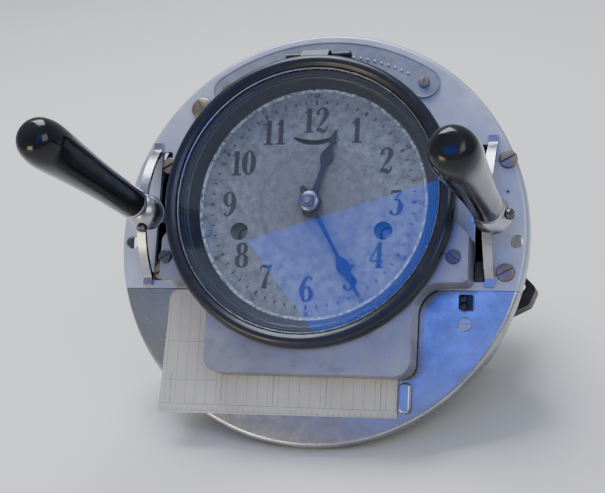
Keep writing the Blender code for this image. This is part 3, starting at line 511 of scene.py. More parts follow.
def paper():
    """Ruled card: thin columns, two cross rules and a ticked band along the lower edge."""
    look = Look("paper")
    parts = look.add("SeparateXYZ", _0=look.place)
    x, y = parts.outputs[0], parts.outputs[1]

    def rule(along, pitch, offset, half):
        """1 on thin lines that repeat every pitch."""
        turn = look.math("FRACT", look.math("DIVIDE", look.math("SUBTRACT", along, offset * MM), pitch * MM))
        off = look.math("ABSOLUTE", look.math("SUBTRACT", turn, 0.5))
        return look.spread(off, half / pitch, half * 1.7 / pitch, 1.0, 0.0)

    def line(along, at, half):
        off = look.math("ABSOLUTE", look.math("SUBTRACT", along, at * MM))
        return look.spread(off, half * MM, half * 1.7 * MM, 1.0, 0.0)

    def within(along, low, high):
        return look.math("MULTIPLY", look.math("GREATER_THAN", along, low * MM),
                         look.math("LESS_THAN", along, high * MM))

    column, left = 5.9, -84.0
    lower, band_foot = -93.6, -97.0
    fine = look.math("MULTIPLY", rule(x, column, left, 0.09), within(y, lower, -34.0))
    strong = look.math("MULTIPLY", rule(x, column * 5, -63.3, 0.17), within(y, lower, -77.0))
    cross = look.math("MAXIMUM", line(y, -59.5, 0.10), line(y, -80.5, 0.10))
    cross = look.math("MULTIPLY", cross, within(x, -82.0, -52.0))
    foot = look.math("MAXIMUM", line(y, lower, 0.12), line(y, band_foot, 0.08))
    ticks = look.math("MULTIPLY", rule(x, column / 2, left, 0.10), within(y, band_foot, -95.4))
    ink = fine
    for more in (strong, cross, foot, ticks):
        ink = look.math("MAXIMUM", ink, more)
    ink = look.math("MULTIPLY", ink, look.spread(look.noise(500, 3), 0.3, 0.6, 0.40, 0.85))
    cloud = look.spread(look.noise(26, 5, 0.6), 0.35, 0.7)
    sheet = look.mix(cloud, (0.47, 0.46, 0.44), (0.39, 0.37, 0.33))
    fibre = look.spread(look.noise(1700, 4, 0.7), 0.55, 0.8, 0.0, 0.2)
    sheet = look.mix(fibre, sheet, (0.38, 0.34, 0.28))
    look.set("Base Color", look.mix(ink, sheet, (0.10, 0.15, 0.12)))
    look.wander(900, 0.78, 0.92, 2)
    look.set("Normal", look.bump(look.noise(2400, 3), 0.15, 0.0001))
    return look


def ribbon():
    look = Look("ribbon")
    warp = look.add("TexWave", Vector=look.scaled(1, 0, 0), Scale=620.0).outputs["Fac"]
    weft = look.add("TexWave", Vector=look.scaled(0, 1, 0), Scale=620.0).outputs["Fac"]
    look.set("Base Color", look.mix(look.noise(300, 3), (0.012, 0.008, 0.03), (0.04, 0.03, 0.07)))
    look.wander(700, 0.75, 0.95, 2)
    look.set("Normal", look.bump(look.math("MAXIMUM", warp, weft), 0.4, 0.0001))
    return look


def ink():
    """Dial enamel in the numerals, rubbed thin in places."""
    look = Look("black_enamel", "dial_ink")
    worn = look.spread(look.noise(520, 5, 0.75), 0.52, 0.72, 0.0, 0.8)
    look.set("Base Color", look.mix(worn, (0.004, 0.004, 0.010), (0.030, 0.030, 0.042)))
    look.set("Roughness", look.spread(worn, 0.0, 0.8, 0.42, 0.66))
    look.set("Normal", look.bump(look.noise(900, 3), 0.12, 0.0001))
    return look


def chalk():
    """The flaking pale band round the dial's edge."""
    look = Look("silvered", "dial_edge")
    flakes = look.spread(look.noise(420, 6, 0.8), 0.44, 0.56)
    look.set("Base Color", look.mix(flakes, (0.07, 0.075, 0.09), (0.30, 0.34, 0.40)))
    look.set("Roughness", look.spread(flakes, 0.0, 1.0, 0.8, 0.6))
    look.set("Normal", look.bump(flakes, 0.5, 0.0002))
    return look


LOOKS = {
    "plate_paint": plate_paint(), "nickel": nickel(), "aluminium": aluminium(),
    "black_enamel": black_enamel(), "black_iron": black_iron(), "silvered": silvered(),
    "blued_steel": metal("blued_steel", (0.014, 0.017, 0.040), (0.035, 0.034, 0.045), 0.26, 0.46, 0.7),
    "steel": metal("steel", (0.50, 0.49, 0.48), (0.33, 0.31, 0.29), 0.24, 0.42),
    "dark_steel": metal("dark_steel", (0.16, 0.155, 0.16), (0.07, 0.062, 0.058), 0.30, 0.50),
    "brass": metal("brass", (0.58, 0.42, 0.18), (0.36, 0.25, 0.11), 0.24, 0.44),
    "grip_black": grip_black(), "glass": glass(), "paper": paper(), "ribbon": ribbon(),
}
TARNISHED = metal("brass", (0.34, 0.27, 0.20), (0.17, 0.13, 0.10), 0.28, 0.48, name="brass_tarnished")
HUB_METAL = metal("blued_steel", (0.20, 0.22, 0.33), (0.10, 0.11, 0.17), 0.22, 0.42, name="hub_metal")
# near black, for the pads at the lower ends of the lever slots
SLOT_PAD_BLACK = metal("black_enamel", (0.020, 0.020, 0.022), (0.036, 0.034, 0.033), 0.55, 0.8, 0.0, "slot_pad_black", 0.3)
INK, CHALK = ink(), chalk()


# -------------------- cover plate

def slotted(name, radius, height, look, body, node, where):
    """A turned screw head with a crowned top and a driver slot."""
    profile = [(0, 0), (radius, 0), (radius, height * 0.35), (radius * 0.97, height * 0.62),
               (radius * 0.9, height * 0.86), (radius * 0.6, height * 0.98), (0, height)]
    half = radius * SCREW_SLOT / 2
    driver = block(-radius * 1.2, radius * 1.2, -half, half, height * 0.2, height * 2)
    shape(name, lathe(profile, 56), look, body, node, where, cuts=[driver], bevel=0.08, segments=2)


def plate_blank():
    """The whole skirted disc, of which the painted plate and the nickel table are each a part."""
    edge = arc(RIM_ROUND, pi / 2, 0, 6, (PLATE_R - RIM_ROUND, -RIM_ROUND))
    inner = PLATE_R - PLATE_T
    skirt = [(PLATE_R, -SKIRT_DEPTH), (inner, -SKIRT_DEPTH), (inner, -PLATE_T)]
    return lathe([(0, 0)] + edge + skirt + [(0, -PLATE_T)], 240)


def arm_middle(name):
    return ARCH_X[name] - SIDE[name] * ARM_INSET


def lever_slot(name):
    """The long slot that the lever's arm swings in."""
    middle = arm_middle(name)
    return prism(rounded_box(middle - 3, middle + 3, PIVOT_Y - 38, PIVOT_Y + 36, 1.2, 4), -5, 2)


def cover_plate():
    cuts = [block(-FAR, FAR, -FAR, SPLIT_Y, -FAR, FAR), drum(4.6, -5, 2, (LOCK_X, LOCK_Y)),
            drum(0.9, -2, 2, (103, 22.6), 24), drum(0.7, -2, 2, (-69, 60.5), 20)]
    joins = []
    sink = [(0, -6), (HOLE_R, -6), (HOLE_R, -0.5), (HOLE_R + 0.5, 1), (0, 1)]
    for name, side in SIDE.items():
        cuts.append(lever_slot(name))
        cuts.append(lathe(sink, 72, (side * HOLE_X, HOLE_Y)))
        joins.append(span(side * 73.5, side * 77.5, PIVOT_Y - 6.5, PIVOT_Y + 6.5, -38.5, -2))
        cuts.append(rod_x(4.3, side * 70, side * 80, PIVOT_Y, PIVOT_Z))
        cuts.append(drum(4.5, -5, 2, (side * WINDING_X, WINDING_Y)))
    cuts.append(drum(5, -5, 2, (0, CLOCK_Y)))
    shape("cover_plate", plate_blank(), LOOKS["plate_paint"], "root", "face_plate", joins=joins, cuts=cuts)


def lever_stops():
    """Near-black pads at the lower ends of the levers' slots."""
    for name in SIDE:
        middle = arm_middle(name)
        pad = rounded_box(middle - 2.4, middle + 2.4, -25.2, -15, 0.8, 4)
        shape(f"lever_stop_{name}", prism(pad, -4, 1.6), SLOT_PAD_BLACK, "root", bevel=0.5)


def nickel_table():
    cuts = [block(-FAR, FAR, SPLIT_Y - GAP, FAR, -FAR, FAR), block(-14, 14, -51.5, -32.5, -5, 2)]
    shape("nickel_table", plate_blank(), LOOKS["nickel"], "root", "card_table", cuts=cuts)
    slotted("table_screw", 3.75, 1.3, LOOKS["steel"], "root", "card_table_screw",
            place(82.6, -47.8, GAP, 0.05))
    guide = rounded_box(49.9, 56.3, -95, -79, 2.8, 8)
    shape("guide_block", prism(guide, GAP, 4.6), LOOKS["nickel"], "root", "card_guide_block", bevel=1.3,
          segments=5)
    catch = rounded_box(79.5, 87, -40.5, -32.5, 1, 5)
    balls = [lathe(arc(2.4, -pi / 2, pi / 2, 12, (0, 3.0)), 40, (82, y)) for y in (-35, -38.6)]
    shape("ribbon_lock", prism(catch, GAP, 2.6), LOOKS["black_enamel"], "root", "ribbon_catch", joins=balls,
          bevel=0.4)


def nameplate():
    """A blank curved label with a raised border and a row of beads in place of words."""
    start, end = radians(56), radians(124)
    middle, half = 101, 8.6

    def band(inset):
        wide = half - inset
        outline = arc(middle + wide, start, end, 72)
        outline += arc(wide, end, end + pi, 24, (middle * cos(end), middle * sin(end)))[1:-1]
        outline += arc(middle - wide, end, start, 72)
        return outline + arc(wide, start + pi, start + tau, 24,
                             (middle * cos(start), middle * sin(start)))[1:-1]

    sunk = prism(band(0.9), 1.2, 3)
    shape("label_plate", prism(band(0), GAP, 1.5), LOOKS["aluminium"], "root", "top_nameplate", cuts=[sunk],
          bevel=0.18, segments=2)
    beads = bmesh.new()
    count = 25
    for i in range(count):
        angle = start + radians(6) + (end - start - radians(12)) * i / (count - 1)
        dome = [(0.95, 0), (0.88, 0.22), (0.62, 0.42), (0, 0.5), (0, 0)]
        one = lathe(dome, 20, (middle * cos(angle), middle * sin(angle)))
        moved(one, Matrix.Translation((0, 0, 1.22)))
        spare = bpy.data.meshes.new("bead")
        one.to_mesh(spare)
        one.free()
        beads.from_mesh(spare)
        bpy.data.meshes.remove(spare)
    shape("label_beads", beads, LOOKS["aluminium"], "root")
    for name, angle in (("right", start), ("left", end)):
        slotted(f"label_screw_{name}", 3.0, 1.2, TARNISHED, "root", f"nameplate_screw_{name}",
                place(middle * cos(angle), middle * sin(angle), 1.5 + GAP, 1.3))


# -------------------- printing head and clock face

def printing_head():
    corners = [(87, -29, 4), (87, -5, 6), (70, 12, 0), (-66, 12, 0), (-81.8, -5, 6), (-81.8, -29, 4),
               (-53, -29, 15), (-53, -77.5, 8), (58.5, -77.5, 8), (58.5, -29, 15)]
    centre = (0, CLOCK_Y)
    hollow = drum(74, -1, 7, centre, 128)
    bore = drum(60, 5, 30, centre, 96)
    dial_seat = drum(69, 10.2, 30, centre, 160)
    throat = block(-95, 95, -90, SPLIT_Y + 0.5, -1, THROAT)
    cuts = [hollow, bore, dial_seat, throat]
    for name, side in SIDE.items():
        inner = ARCH_X[name] - side * 8.5
        cuts.append(span(inner, side * FAR, -40, 60, -1, 30))
        slotted(f"head_fixing_{name}", 3.8, 1.2, LOOKS["dark_steel"], "root", f"head_screw_{name}",
                place(side * 79, -16, HEAD_TOP + GAP, -0.6 * side))
    ring = drum(HEAD_R, GAP, HEAD_TOP, centre, 192)
    shape("printing_head", prism(rounded(corners, 12), GAP, HEAD_TOP), LOOKS["aluminium"], "root",
          "head_casting", joins=[ring], cuts=cuts, bevel=0.9, segments=4)


HINGE_AT = place(0, HINGE_Y, HINGE_Z)
DIAL_AT = place(0, CLOCK_Y, DIAL_Z)


def hung(profile, steps):
    """A turned piece placed from the hinge, whose profile has its z from the plate's face."""
    return lathe([(r, z - HINGE_Z) for r, z in profile], steps, (0, CLOCK_Y - HINGE_Y))


def bezel():
    crown = smooth_path([(79.5, 22.6), (79.3, 24.6), (78.3, 26.3), (76.6, 27.15), (74.8, 27.1),
                         (73.2, 26.2)], 5)
    outer = [(63.4, 13.0), (66.5, 13.0), (68.2, 19.6), (78.9, 19.6), (79.5, 20.2)] + crown
    inner = [(72.7, 25.9), (72.4, 25.4), (72.4, 22.4), (70.0, 22.2), (69.4, 21.2), (68.6, 21.0),
             (68.2, 20.2), (67.2, 19.8), (66.8, 18.9), (65.6, 17.2), (64.0, 14.6)]
    knuckle = [(-4.5, 6), (-4.5, 10), (1.5, 6), (2.3, 0), (0, -1), (-2.3, 0)]
    joins = [side_prism(knuckle, -7.5, 7.5), rod_x(2.5, -7.5, 7.5)]
    shape("clock_bezel", hung(outer + inner, 240), LOOKS["black_enamel"], "bezel", "bezel_ring", HINGE_AT,
          joins=joins, cuts=[rod_x(1.5, -20, 20)])
    pane = [(0, 22.7), (72.0, 22.7), (72.0, 23.8), (71.6, 24.2), (0, 24.2)]
    shape("clock_glass", hung(pane, 160), LOOKS["glass"], "bezel", "bezel_glass", HINGE_AT)
    ring = [(71.2, 24.5), (71.5, 24.5), (72.0, 24.5), (72.0, 25.2), (71.8, 25.5), (71.5, 25.4), (71.2, 24.9)]
    shape("glass_ring", hung(ring, 200), LOOKS["nickel"], "bezel", "glass_retainer", HINGE_AT)


def hinge_leaf():
    """The fixed half of the bezel's hinge, with its pin."""
    web = [(-4.7, -7), (-1, -4), (1, -1), (-1.6, 1), (-4.7, -1)]
    joins = []
    for x in (-18, 8):
        joins += [rod_x(2.5, x, x + 10), side_prism(web, x, x + 10)]
    joins.append(rod_x(1.2, -18.6, 18.6))
    shape("hinge_leaf", block(-18, 18, -4.7, -2.6, -8, -3.4), LOOKS["black_enamel"], "root",
          "bezel_hinge_leaf", HINGE_AT, joins=joins, bevel=0.15, segments=2)


def dial_plate():
    cuts = [drum(4, -3, 3)]
    for side in SIDE.values():
        cuts.append(drum(4.9, -3, 3, (side * WINDING_X, WINDING_Y - CLOCK_Y), 72))
    smile = arc(21.3, radians(-125), radians(-55), 24, (0, 53.7))
    smile += arc(31.2, radians(-70), radians(-110), 24, (0, 66.4))
    cuts.append(prism(smile, -3, 3))
    shape("dial_plate", drum(DIAL_R, -1.5, 0, steps=180), LOOKS["silvered"], "root", "dial", DIAL_AT,
          cuts=cuts, bevel=0.12, segments=2)
    rim = [(61.9, 0.04), (62.4, 0.35), (63.2, 0.5), (65.5, 0.5), (65.5, 0.04)]
    shape("dial_edge_band", lathe(rim, 180), CHALK, "root", where=DIAL_AT)


def ringed(cx, cy, wide, tall, thin, thick, count=28):
    """A closed loop stroke, thick at its sides."""
    return [(cx + wide * cos(tau * i / count), cy + tall * sin(tau * i / count),
             thin + (thick - thin) * abs(cos(tau * i / count)) ** 1.5) for i in range(count + 1)]


# Each numeral is a list of strokes, and a stroke is (x, y, half width) along its middle, in cap heights.
SIX = [(0.45, 0.84, 0.05), (0.35, 0.97, 0.022), (0.17, 0.80, 0.060), (0.08, 0.42, 0.085),
       (0.16, 0.08, 0.050), (0.27, 0.02, 0.024), (0.40, 0.10, 0.060), (0.45, 0.29, 0.078),
       (0.38, 0.50, 0.050), (0.27, 0.57, 0.022), (0.13, 0.44, 0.018)]
STROKES = {
    "0": [ringed(0.26, 0.50, 0.185, 0.475, 0.022, 0.088)],
    "1": [[(0.25, 0.99, 0.074), (0.25, 0.5, 0.074), (0.25, 0.02, 0.074)],
          [(0.06, 0.80, 0.018), (0.16, 0.86, 0.034), (0.24, 0.97, 0.050)],
          [(0.05, 0.02, 0.022), (0.25, 0.02, 0.026), (0.45, 0.02, 0.022)]],
    "2": [[(0.13, 0.72, 0.068), (0.09, 0.82, 0.045), (0.22, 0.97, 0.024), (0.37, 0.93, 0.050),
           (0.44, 0.76, 0.085), (0.36, 0.53, 0.060), (0.18, 0.27, 0.030), (0.06, 0.06, 0.022)],
          [(0.05, 0.05, 0.024), (0.18, 0.10, 0.062), (0.34, 0.04, 0.066), (0.45, 0.10, 0.034),
           (0.49, 0.26, 0.012)]],
    "3": [[(0.09, 0.82, 0.016), (0.11, 0.93, 0.036), (0.28, 0.93, 0.044), (0.47, 0.96, 0.020)],
          [(0.47, 0.96, 0.018), (0.34, 0.76, 0.020), (0.21, 0.58, 0.018)],
          [(0.21, 0.58, 0.018), (0.37, 0.59, 0.040), (0.46, 0.34, 0.086), (0.36, 0.07, 0.045),
           (0.21, 0.02, 0.024), (0.09, 0.12, 0.056), (0.12, 0.20, 0.044)]],
    "4": [[(0.36, 0.98, 0.022), (0.19, 0.64, 0.020), (0.01, 0.29, 0.020)],
          [(0.00, 0.27, 0.024), (0.26, 0.27, 0.024), (0.52, 0.27, 0.024)],
          [(0.36, 0.98, 0.070), (0.36, 0.5, 0.070), (0.36, 0.02, 0.070)],
          [(0.20, 0.02, 0.020), (0.36, 0.02, 0.024), (0.52, 0.02, 0.020)]],
    "5": [[(0.13, 0.95, 0.022), (0.28, 0.90, 0.052), (0.45, 0.98, 0.014)],
          [(0.13, 0.95, 0.018), (0.11, 0.74, 0.016), (0.10, 0.52, 0.016)],
          [(0.10, 0.52, 0.016), (0.28, 0.61, 0.032), (0.45, 0.34, 0.086), (0.34, 0.06, 0.040),
           (0.19, 0.02, 0.024), (0.08, 0.13, 0.056), (0.12, 0.21, 0.040)]],
    "6": [SIX],
    "7": [[(0.05, 0.76, 0.014), (0.08, 0.90, 0.030), (0.20, 0.92, 0.054), (0.35, 0.90, 0.046),
           (0.49, 0.98, 0.016)],
          [(0.49, 0.98, 0.016), (0.34, 0.62, 0.036), (0.25, 0.32, 0.064), (0.22, 0.04, 0.086)]],
    "8": [ringed(0.26, 0.755, 0.150, 0.215, 0.022, 0.068), ringed(0.26, 0.270, 0.185, 0.250, 0.022, 0.080)],
    "9": [[(0.52 - x, 1 - y, w) for x, y, w in SIX]],
}


def add_stroke(bm, points, corner, tall, low, high):
    """A raised stroke whose width follows its points."""
    path = smooth_path(points, 4)
    left, right = [], []
    for i, (x, y, wide) in enumerate(path):
        before, after = path[max(i - 1, 0)], path[min(i + 1, len(path) - 1)]
        run = Vector((after[0] - before[0], after[1] - before[1])).normalized()
        for edge, sign in ((left, 1), (right, -1)):
            edge.append((corner[0] + (x - sign * run.y * wide) * tall,
                         corner[1] + (y + sign * run.x * wide) * tall))
    layers = [[bm.verts.new((*p, z)) for p in edge] for z in (low, high) for edge in (left, right)]
    low_left, low_right, high_left, high_right = layers
    for i in range(len(path) - 1):
        for a, b in ((high_left, high_right), (high_right, low_right), (low_right, low_left),
                     (low_left, high_left)):
            bm.faces.new([a[i], b[i], b[i + 1], a[i + 1]])
    for i in (0, -1):
        bm.faces.new([low_left[i], low_right[i], high_right[i], high_left[i]])


def add_number(bm, text, centre, tall, low, high):
    advance = [0.50 if digit == "1" else 0.58 for digit in text]
    x = centre[0] - sum(advance) * tall / 2 + 0.02 * tall
    for digit, wide in zip(text, advance):
        for points in STROKES[digit]:
            bold = [(u, v, max(half * NUMERAL_WEIGHT, HAIRLINE)) for u, v, half in points]
            add_stroke(bm, bold, (x, centre[1] - tall / 2), tall, low, high)
        x += wide * tall


def dial_printing():
    low, high = 0.03, 0.09
    numerals, track = bmesh.new(), bmesh.new()
    for hour in range(1, 13):
        angle = pi / 2 - tau * hour / 12
        beside, under = (0.93, 5.0) if hour in (4, 8) else (1.0, 0.0)      # clear of the winding holes
        spot = (NUMERAL_R * cos(angle) * beside, NUMERAL_R * sin(angle) - under)
        add_number(numerals, str(hour), spot, NUMERAL_H, low, high)
    for minute in range(60):
        angle = pi / 2 - tau * minute / 60
        length, wide = (1.9, 0.75) if minute % 5 else (2.6, 1.15)
        ends = [(TRACK_R - length / 2, wide), (TRACK_R, wide * 1.15), (TRACK_R + length / 2, wide)]
        add_stroke(track, [(r * cos(angle), r * sin(angle), w / 2) for r, w in ends], (0, 0), 1, low, high)
    for minute in range(5, 65, 5):
        angle = pi / 2 - tau * minute / 60
        spot = (MINUTES_R * cos(angle), MINUTES_R * sin(angle))
        add_number(track, str(minute), spot, MINUTES_H, low, high)
    shape("dial_numerals", numerals, INK, "root", where=DIAL_AT)
    shape("dial_minute_track", track, INK, "root", where=DIAL_AT)


def tapered(stations):
    """A shape symmetric about y, from (y, half width) stations, smoothed."""
    dense = smooth_path(stations, 4)
    return [(w, y) for y, w in dense] + [(-w, y) for y, w in reversed(dense)]


def hands():
    hour = tapered([(-8, 1.6), (-5.6, 3.0), (-2.5, 5.2), (0, 5.8), (2.5, 5.2), (5.6, 2.6), (9, 1.5),
                    (20, 1.3), (22, 2.2), (24.5, 3.4), (27, 3.5), (29.5, 2.6), (32, 1.2), (34, 1.0),
                    (35.2, 3.0), (36.2, 1.6), (39, 1.1), (42, 0.3)])
    at = place(0, CLOCK_Y, DIAL_Z + 1.4) @ place(turn=radians(-HOUR_ANGLE))
    shape("spade_hour_hand", prism(hour, 0, 0.7), LOOKS["blued_steel"], "hour_pipe", "hour_hand",
          at, cuts=[drum(3.3, -3, 3)], bevel=0.2, segments=2)
    minute = tapered([(-10, 1.4), (-6, 2.4), (-2.5, 4.6), (0, 5.2), (2.5, 4.6), (6, 2.0), (10, 1.3),
                      (33, 1.1), (36, 2.4), (40, 3.6), (43, 3.3), (46.5, 1.5), (47.6, 2.6), (48.6, 1.2),
                      (54, 0.8), (59, 0.25)])
    at = place(0, CLOCK_Y, DIAL_Z + 3.2) @ place(turn=radians(-MINUTE_ANGLE))
    shape("spade_minute_hand", prism(minute, 0, 0.6), LOOKS["blued_steel"], "centre_arbor",
          "minute_hand", at, cuts=[drum(2.1, -3, 3)], bevel=0.18, segments=2)
    nut = [(2.1, 0), (5.5, 0), (5.8, 0.4), (5.8, 1.3), (5.4, 1.9), (4.6, 2.3), (3.6, 2.5), (3.3, 2.9),
           (3.2, 3.4), (2.9, 3.7), (2.1, 3.7)]
    shape("knurled_hand_nut", lathe(nut, 72), HUB_METAL, "centre_arbor", "hand_nut",
          place(0, CLOCK_Y, DIAL_Z + 4.1))


def lock():
    profile = [(0, -3.2), (4, -3.2), (4, 0), (6.0, 0), (6.25, 0.3), (6.25, 1.5), (5.9, 2.1), (5.2, 2.45),
               (0, 2.6)]
    shape("lock_plug", lathe(profile, 72), TARNISHED, "lock", "lock_barrel",
          place(LOCK_X, LOCK_Y, GAP, radians(35)), cuts=[block(-0.8, 0.8, -7, 7, 1.2, 4)], bevel=0.1,
          segments=2)


# -------------------- levers

def guide_arch(name):
    """The bent strip that the lever's ball straddles."""
    spread = asin(38.0 / ARCH_OUT)
    outline = arc(ARCH_OUT, pi / 2 + spread, pi / 2 - spread, 72)
    outline += arc(ARCH_OUT - ARCH_T, pi / 2 - spread, pi / 2 + spread, 72)
    half, seat = ARCH_W / 2, GAP - PIVOT_Z
    feet = [block(-half, half, y0, y1, seat, seat + 1.8) for y0, y1 in ((-41, -33.5), (33.5, 41))]
    shape(f"arch_{name}", side_prism(outline, -half, half), LOOKS["nickel"], "root",
          f"guide_arch_{name}", place(ARCH_X[name], PIVOT_Y, PIVOT_Z), joins=feet,
          cuts=[block(-20, 20, -60, 60, -10, seat)], bevel=0.45)
    for end, y in (("upper", 40), ("lower", -20.5)):
        slotted(f"arch_fixing_{name}_{end}", 4.9, 2.0, TARNISHED, "root", f"arch_screw_{name}_{end}",
                place(ARCH_X[name] + 8.0, y, GAP, 0.5))


def lever_at(name):
    """The place of the lever's shaft, turned to where the lever rests."""
    return place(0, PIVOT_Y, PIVOT_Z) @ place(turn=REST_TILT[name], axis="X")


def grip_tilt(name):
    """How the grip leans away from its arm: splayed to the side and cranked up the plate."""
    return Matrix.Rotation(SPLAY[name], 4, "Y") @ Matrix.Rotation(-GRIP_CRANK, 4, "X")


def lever_arm(name):
    """The flat arm with its hub, and the ball that is slotted for the guide arch."""
    middle = arm_middle(name)
    ball_at = Matrix.Translation((BALL_X[name], 0, BALL_AT))
    ball = bmesh.new()
    bmesh.ops.create_uvsphere(ball, u_segments=64, v_segments=40, radius=BALL_R)
    moved(ball, ball_at)
    neck = lathe([(0, 4), (5.4, 4), (5.0, 9.5), (4.5, 10.6), (4.5, 13.2), (0, 13.2)], 48)
    moved(neck, ball_at @ grip_tilt(name))
    sweep = arc(ARCH_OUT + 0.5, pi / 2 + 0.5, pi / 2 - 0.5, 32) + [(24, 15), (-24, 15)]
    cuts = [side_prism(sweep, ARCH_X[name] - 3.0, ARCH_X[name] + 3.0), rod_x(4.3, middle - 9, middle + 9)]
    shape(f"lever_arm_{name}", block(middle - 2, middle + 2, -3.5, 3.5, 0, BALL_AT), LOOKS["nickel"],
          f"{name}_lever", f"lever_{name}", lever_at(name),
          joins=[rod_x(7.5, middle - 2, middle + 2), ball, neck], cuts=cuts, bevel=0.3, upright=True)


def handle(name):
    """The nickel collar, the black grip and the screw in the ball's side."""
    body, ball_at = f"{name}_lever", lever_at(name) @ place(BALL_X[name], 0, BALL_AT)
    grip_at = ball_at @ grip_tilt(name)
    collar = smooth_path([(6.0, 13.5), (7.3, 13.9), (8.5, 14.8), (8.8, 15.8), (8.6, 16.6), (8.3, 17.4)], 4)
    shape(f"collar_{name}", lathe([(0, 13.5)] + collar + [(3.0, 17.4), (3.0, 26.0), (0, 26.0)], 72),
          LOOKS["nickel"], body, f"ferrule_{name}", grip_at)
    outer = smooth_path([(8.4, 17.8), (8.75, 30), (8.95, 42), (9.6, 58), (10.8, 78), (11.8, 92),
                         (12.2, 100), (11.9, 107), (10.2, 113), (7.0, 116.4), (3.4, 117.5), (0, 117.7)], 8)
    shape(f"handle_{name}", lathe([(3.3, 17.8), (8.1, 17.8)] + outer + [(0, 26.4), (3.3, 26.4)], 96),
          LOOKS["grip_black"], body, f"grip_{name}", grip_at, upright=True)
    screw_at = ball_at @ place(turn=HUB_SCREW_TURN, axis=HUB_SCREW[name])
    slotted(f"hub_fixing_{name}", 2.9, 1.8, LOOKS["dark_steel"], body, f"hub_screw_{name}",
            screw_at @ place(0, 0, BALL_R + GAP))


# -------------------- case, card and ribbon

def case_outline(radius, low, high, steps=192):
    """A circle cut off straight below and above."""
    return [(x, max(low, min(high, y))) for x, y in circle(radius, steps, start=tau / steps / 2)]


def floor_y(z):
    """Where the standing surface crosses the depth z behind the plate."""
    level = -PLATE_R * cos(LEAN) - SKIRT_DEPTH * sin(LEAN)
    return (level - z * sin(LEAN)) / cos(LEAN)


CASE_INNER = CASE_R - CASE_WALL


def iron_case():
    """A shallow round pot behind the plate, and a deeper part cut off straight above and below."""
    top = -PLATE_T - GAP
    joins = [drum(FLANGE_R, top - 4, top, steps=192),
             prism(case_outline(CASE_R, CASE_LOW, CASE_HIGH), CASE_BACK, top - 6)]
    cuts = [prism(circle(CASE_INNER, 160, start=0.01), POT_BACK + CASE_WALL, 5),
            prism(case_outline(CASE_INNER, CASE_LOW + CASE_WALL, CASE_HIGH - CASE_WALL), CASE_BACK - 5, 5)]
    shape("iron_case", prism(circle(CASE_R, 192), POT_BACK, top), LOOKS["black_iron"], "root", "case",
          joins=joins, cuts=cuts, bevel=0.7, upright=True)


def fixing_ears():
    ear = rounded([(88, -6, 0), (100, -8, 4), (116, -24, 4), (112, -33, 4), (102, -38, 4), (88, -40, 0)], 8)
    for name, side in SIDE.items():
        hole = drum(EAR_HOLE_R, -60, -20, (side * EAR_HOLE_X, EAR_HOLE_Y), 48)
        shape(f"fixing_ear_{name}", prism([(side * x, y) for x, y in ear], EAR_BACK, EAR_FRONT),
              LOOKS["black_iron"], "root", f"case_ear_{name}", bevel=1.2, segments=4,
              cuts=[drum(CASE_R + GAP, -60, -20, steps=160), hole])


def foot_rail():
    """The rail under the case, cut off level with the standing surface."""
    seat = CASE_LOW - GAP
    sole = [(seat, FOOT_FRONT), (seat, FOOT_BACK), (floor_y(FOOT_BACK), FOOT_BACK),
            (floor_y(FOOT_FRONT), FOOT_FRONT)]
    shape("foot_rail", side_prism(sole, -FOOT_HALF, FOOT_HALF), LOOKS["black_iron"], "root", "case_foot",
          bevel=0.5, upright=True)


def back_cover():
    play = CASE_WALL + COVER_PLAY
    plug = prism(case_outline(CASE_INNER - COVER_PLAY, CASE_LOW + play, CASE_HIGH - play),
                 CASE_BACK - 1, CASE_BACK + 2)
    sunk = prism(case_outline(CASE_INNER - 9, CASE_LOW + 11, CASE_HIGH - 11), -86, COVER_BACK + 0.7)
    cover = case_outline(CASE_INNER + COVER_LIP, CASE_LOW + COVER_LIP, CASE_HIGH - COVER_LIP)
    shape("back_cover", prism(cover, COVER_BACK, CASE_BACK - GAP), LOOKS["black_iron"], "root", "rear_cover",
          joins=[plug], cuts=[sunk], bevel=0.3, upright=True)
    spots = [(side * x, y) for side in SIDE.values() for x, y in ((92, 22), (92, -18), (52, 70), (52, -52))]
    for i, (x, y) in enumerate(spots):
        slotted(f"cover_screw_{i}", 2.7, 1.3, LOOKS["dark_steel"], "root", None,
                place(x, y, COVER_BACK) @ place(turn=pi, axis="X") @ place(turn=0.9 * i))


def ticket():
    """The card, with its upper left corner curled up a little."""
    outline = rounded([(-84.4, -98.6, 0.8), (49.0, -97.4, 0.8), (48.6, -31.4, 0.8), (-81.6, -31.2, 5)], 6)
    low, high = GAP + 0.05, GAP + 0.4
    bm = prism(outline, low, high)
    for along, start, count in (((1, 0, 0), -84, 33), ((0, 1, 0), -98, 16)):
        for k in range(1, count + 1):
            bmesh.ops.bisect_plane(bm, geom=bm.verts[:] + bm.edges[:] + bm.faces[:],
                                   plane_co=Vector(along) * (start + 4 * k), plane_no=along)
    for vert in bm.verts:
        near = max(0.0, (-66 - vert.co.x) / 16) * max(0.0, (vert.co.y + 52) / 20)
        vert.co.z += 1.3 * min(near, 1.4) ** 1.5
        vert.co.z += 0.35 * max(0.0, (-72 - vert.co.x) / 12) ** 2
    shape("call_ticket", bm, LOOKS["paper"], "card", "ticket_card")


def type_ribbon():
    wide, tall, y = 90.0, 13.0, -42.0
    strip = shape("typing_ribbon", block(-wide / 2, wide / 2, y - tall / 2, y + tall / 2, 1.5, 1.65),
                  LOOKS["ribbon"], "root", "ink_ribbon")


TARNISHED_NODES = ("centre_wheel", "mainspring_barrel_left", "mainspring_barrel_right")


def movement_looks():
    """The pieces inside the case keep their shape and take the finishes of this file."""
    slots = {entry["node"]: entry["material_slot"] for entry in frame["record"]["subparts"]}
    for name, node in frame["nodes"].items():
        look = TARNISHED if name in TARNISHED_NODES else LOOKS[slots[name]]
        for holder in node.material_slots:
            holder.material = look.material


# -------------------- studio

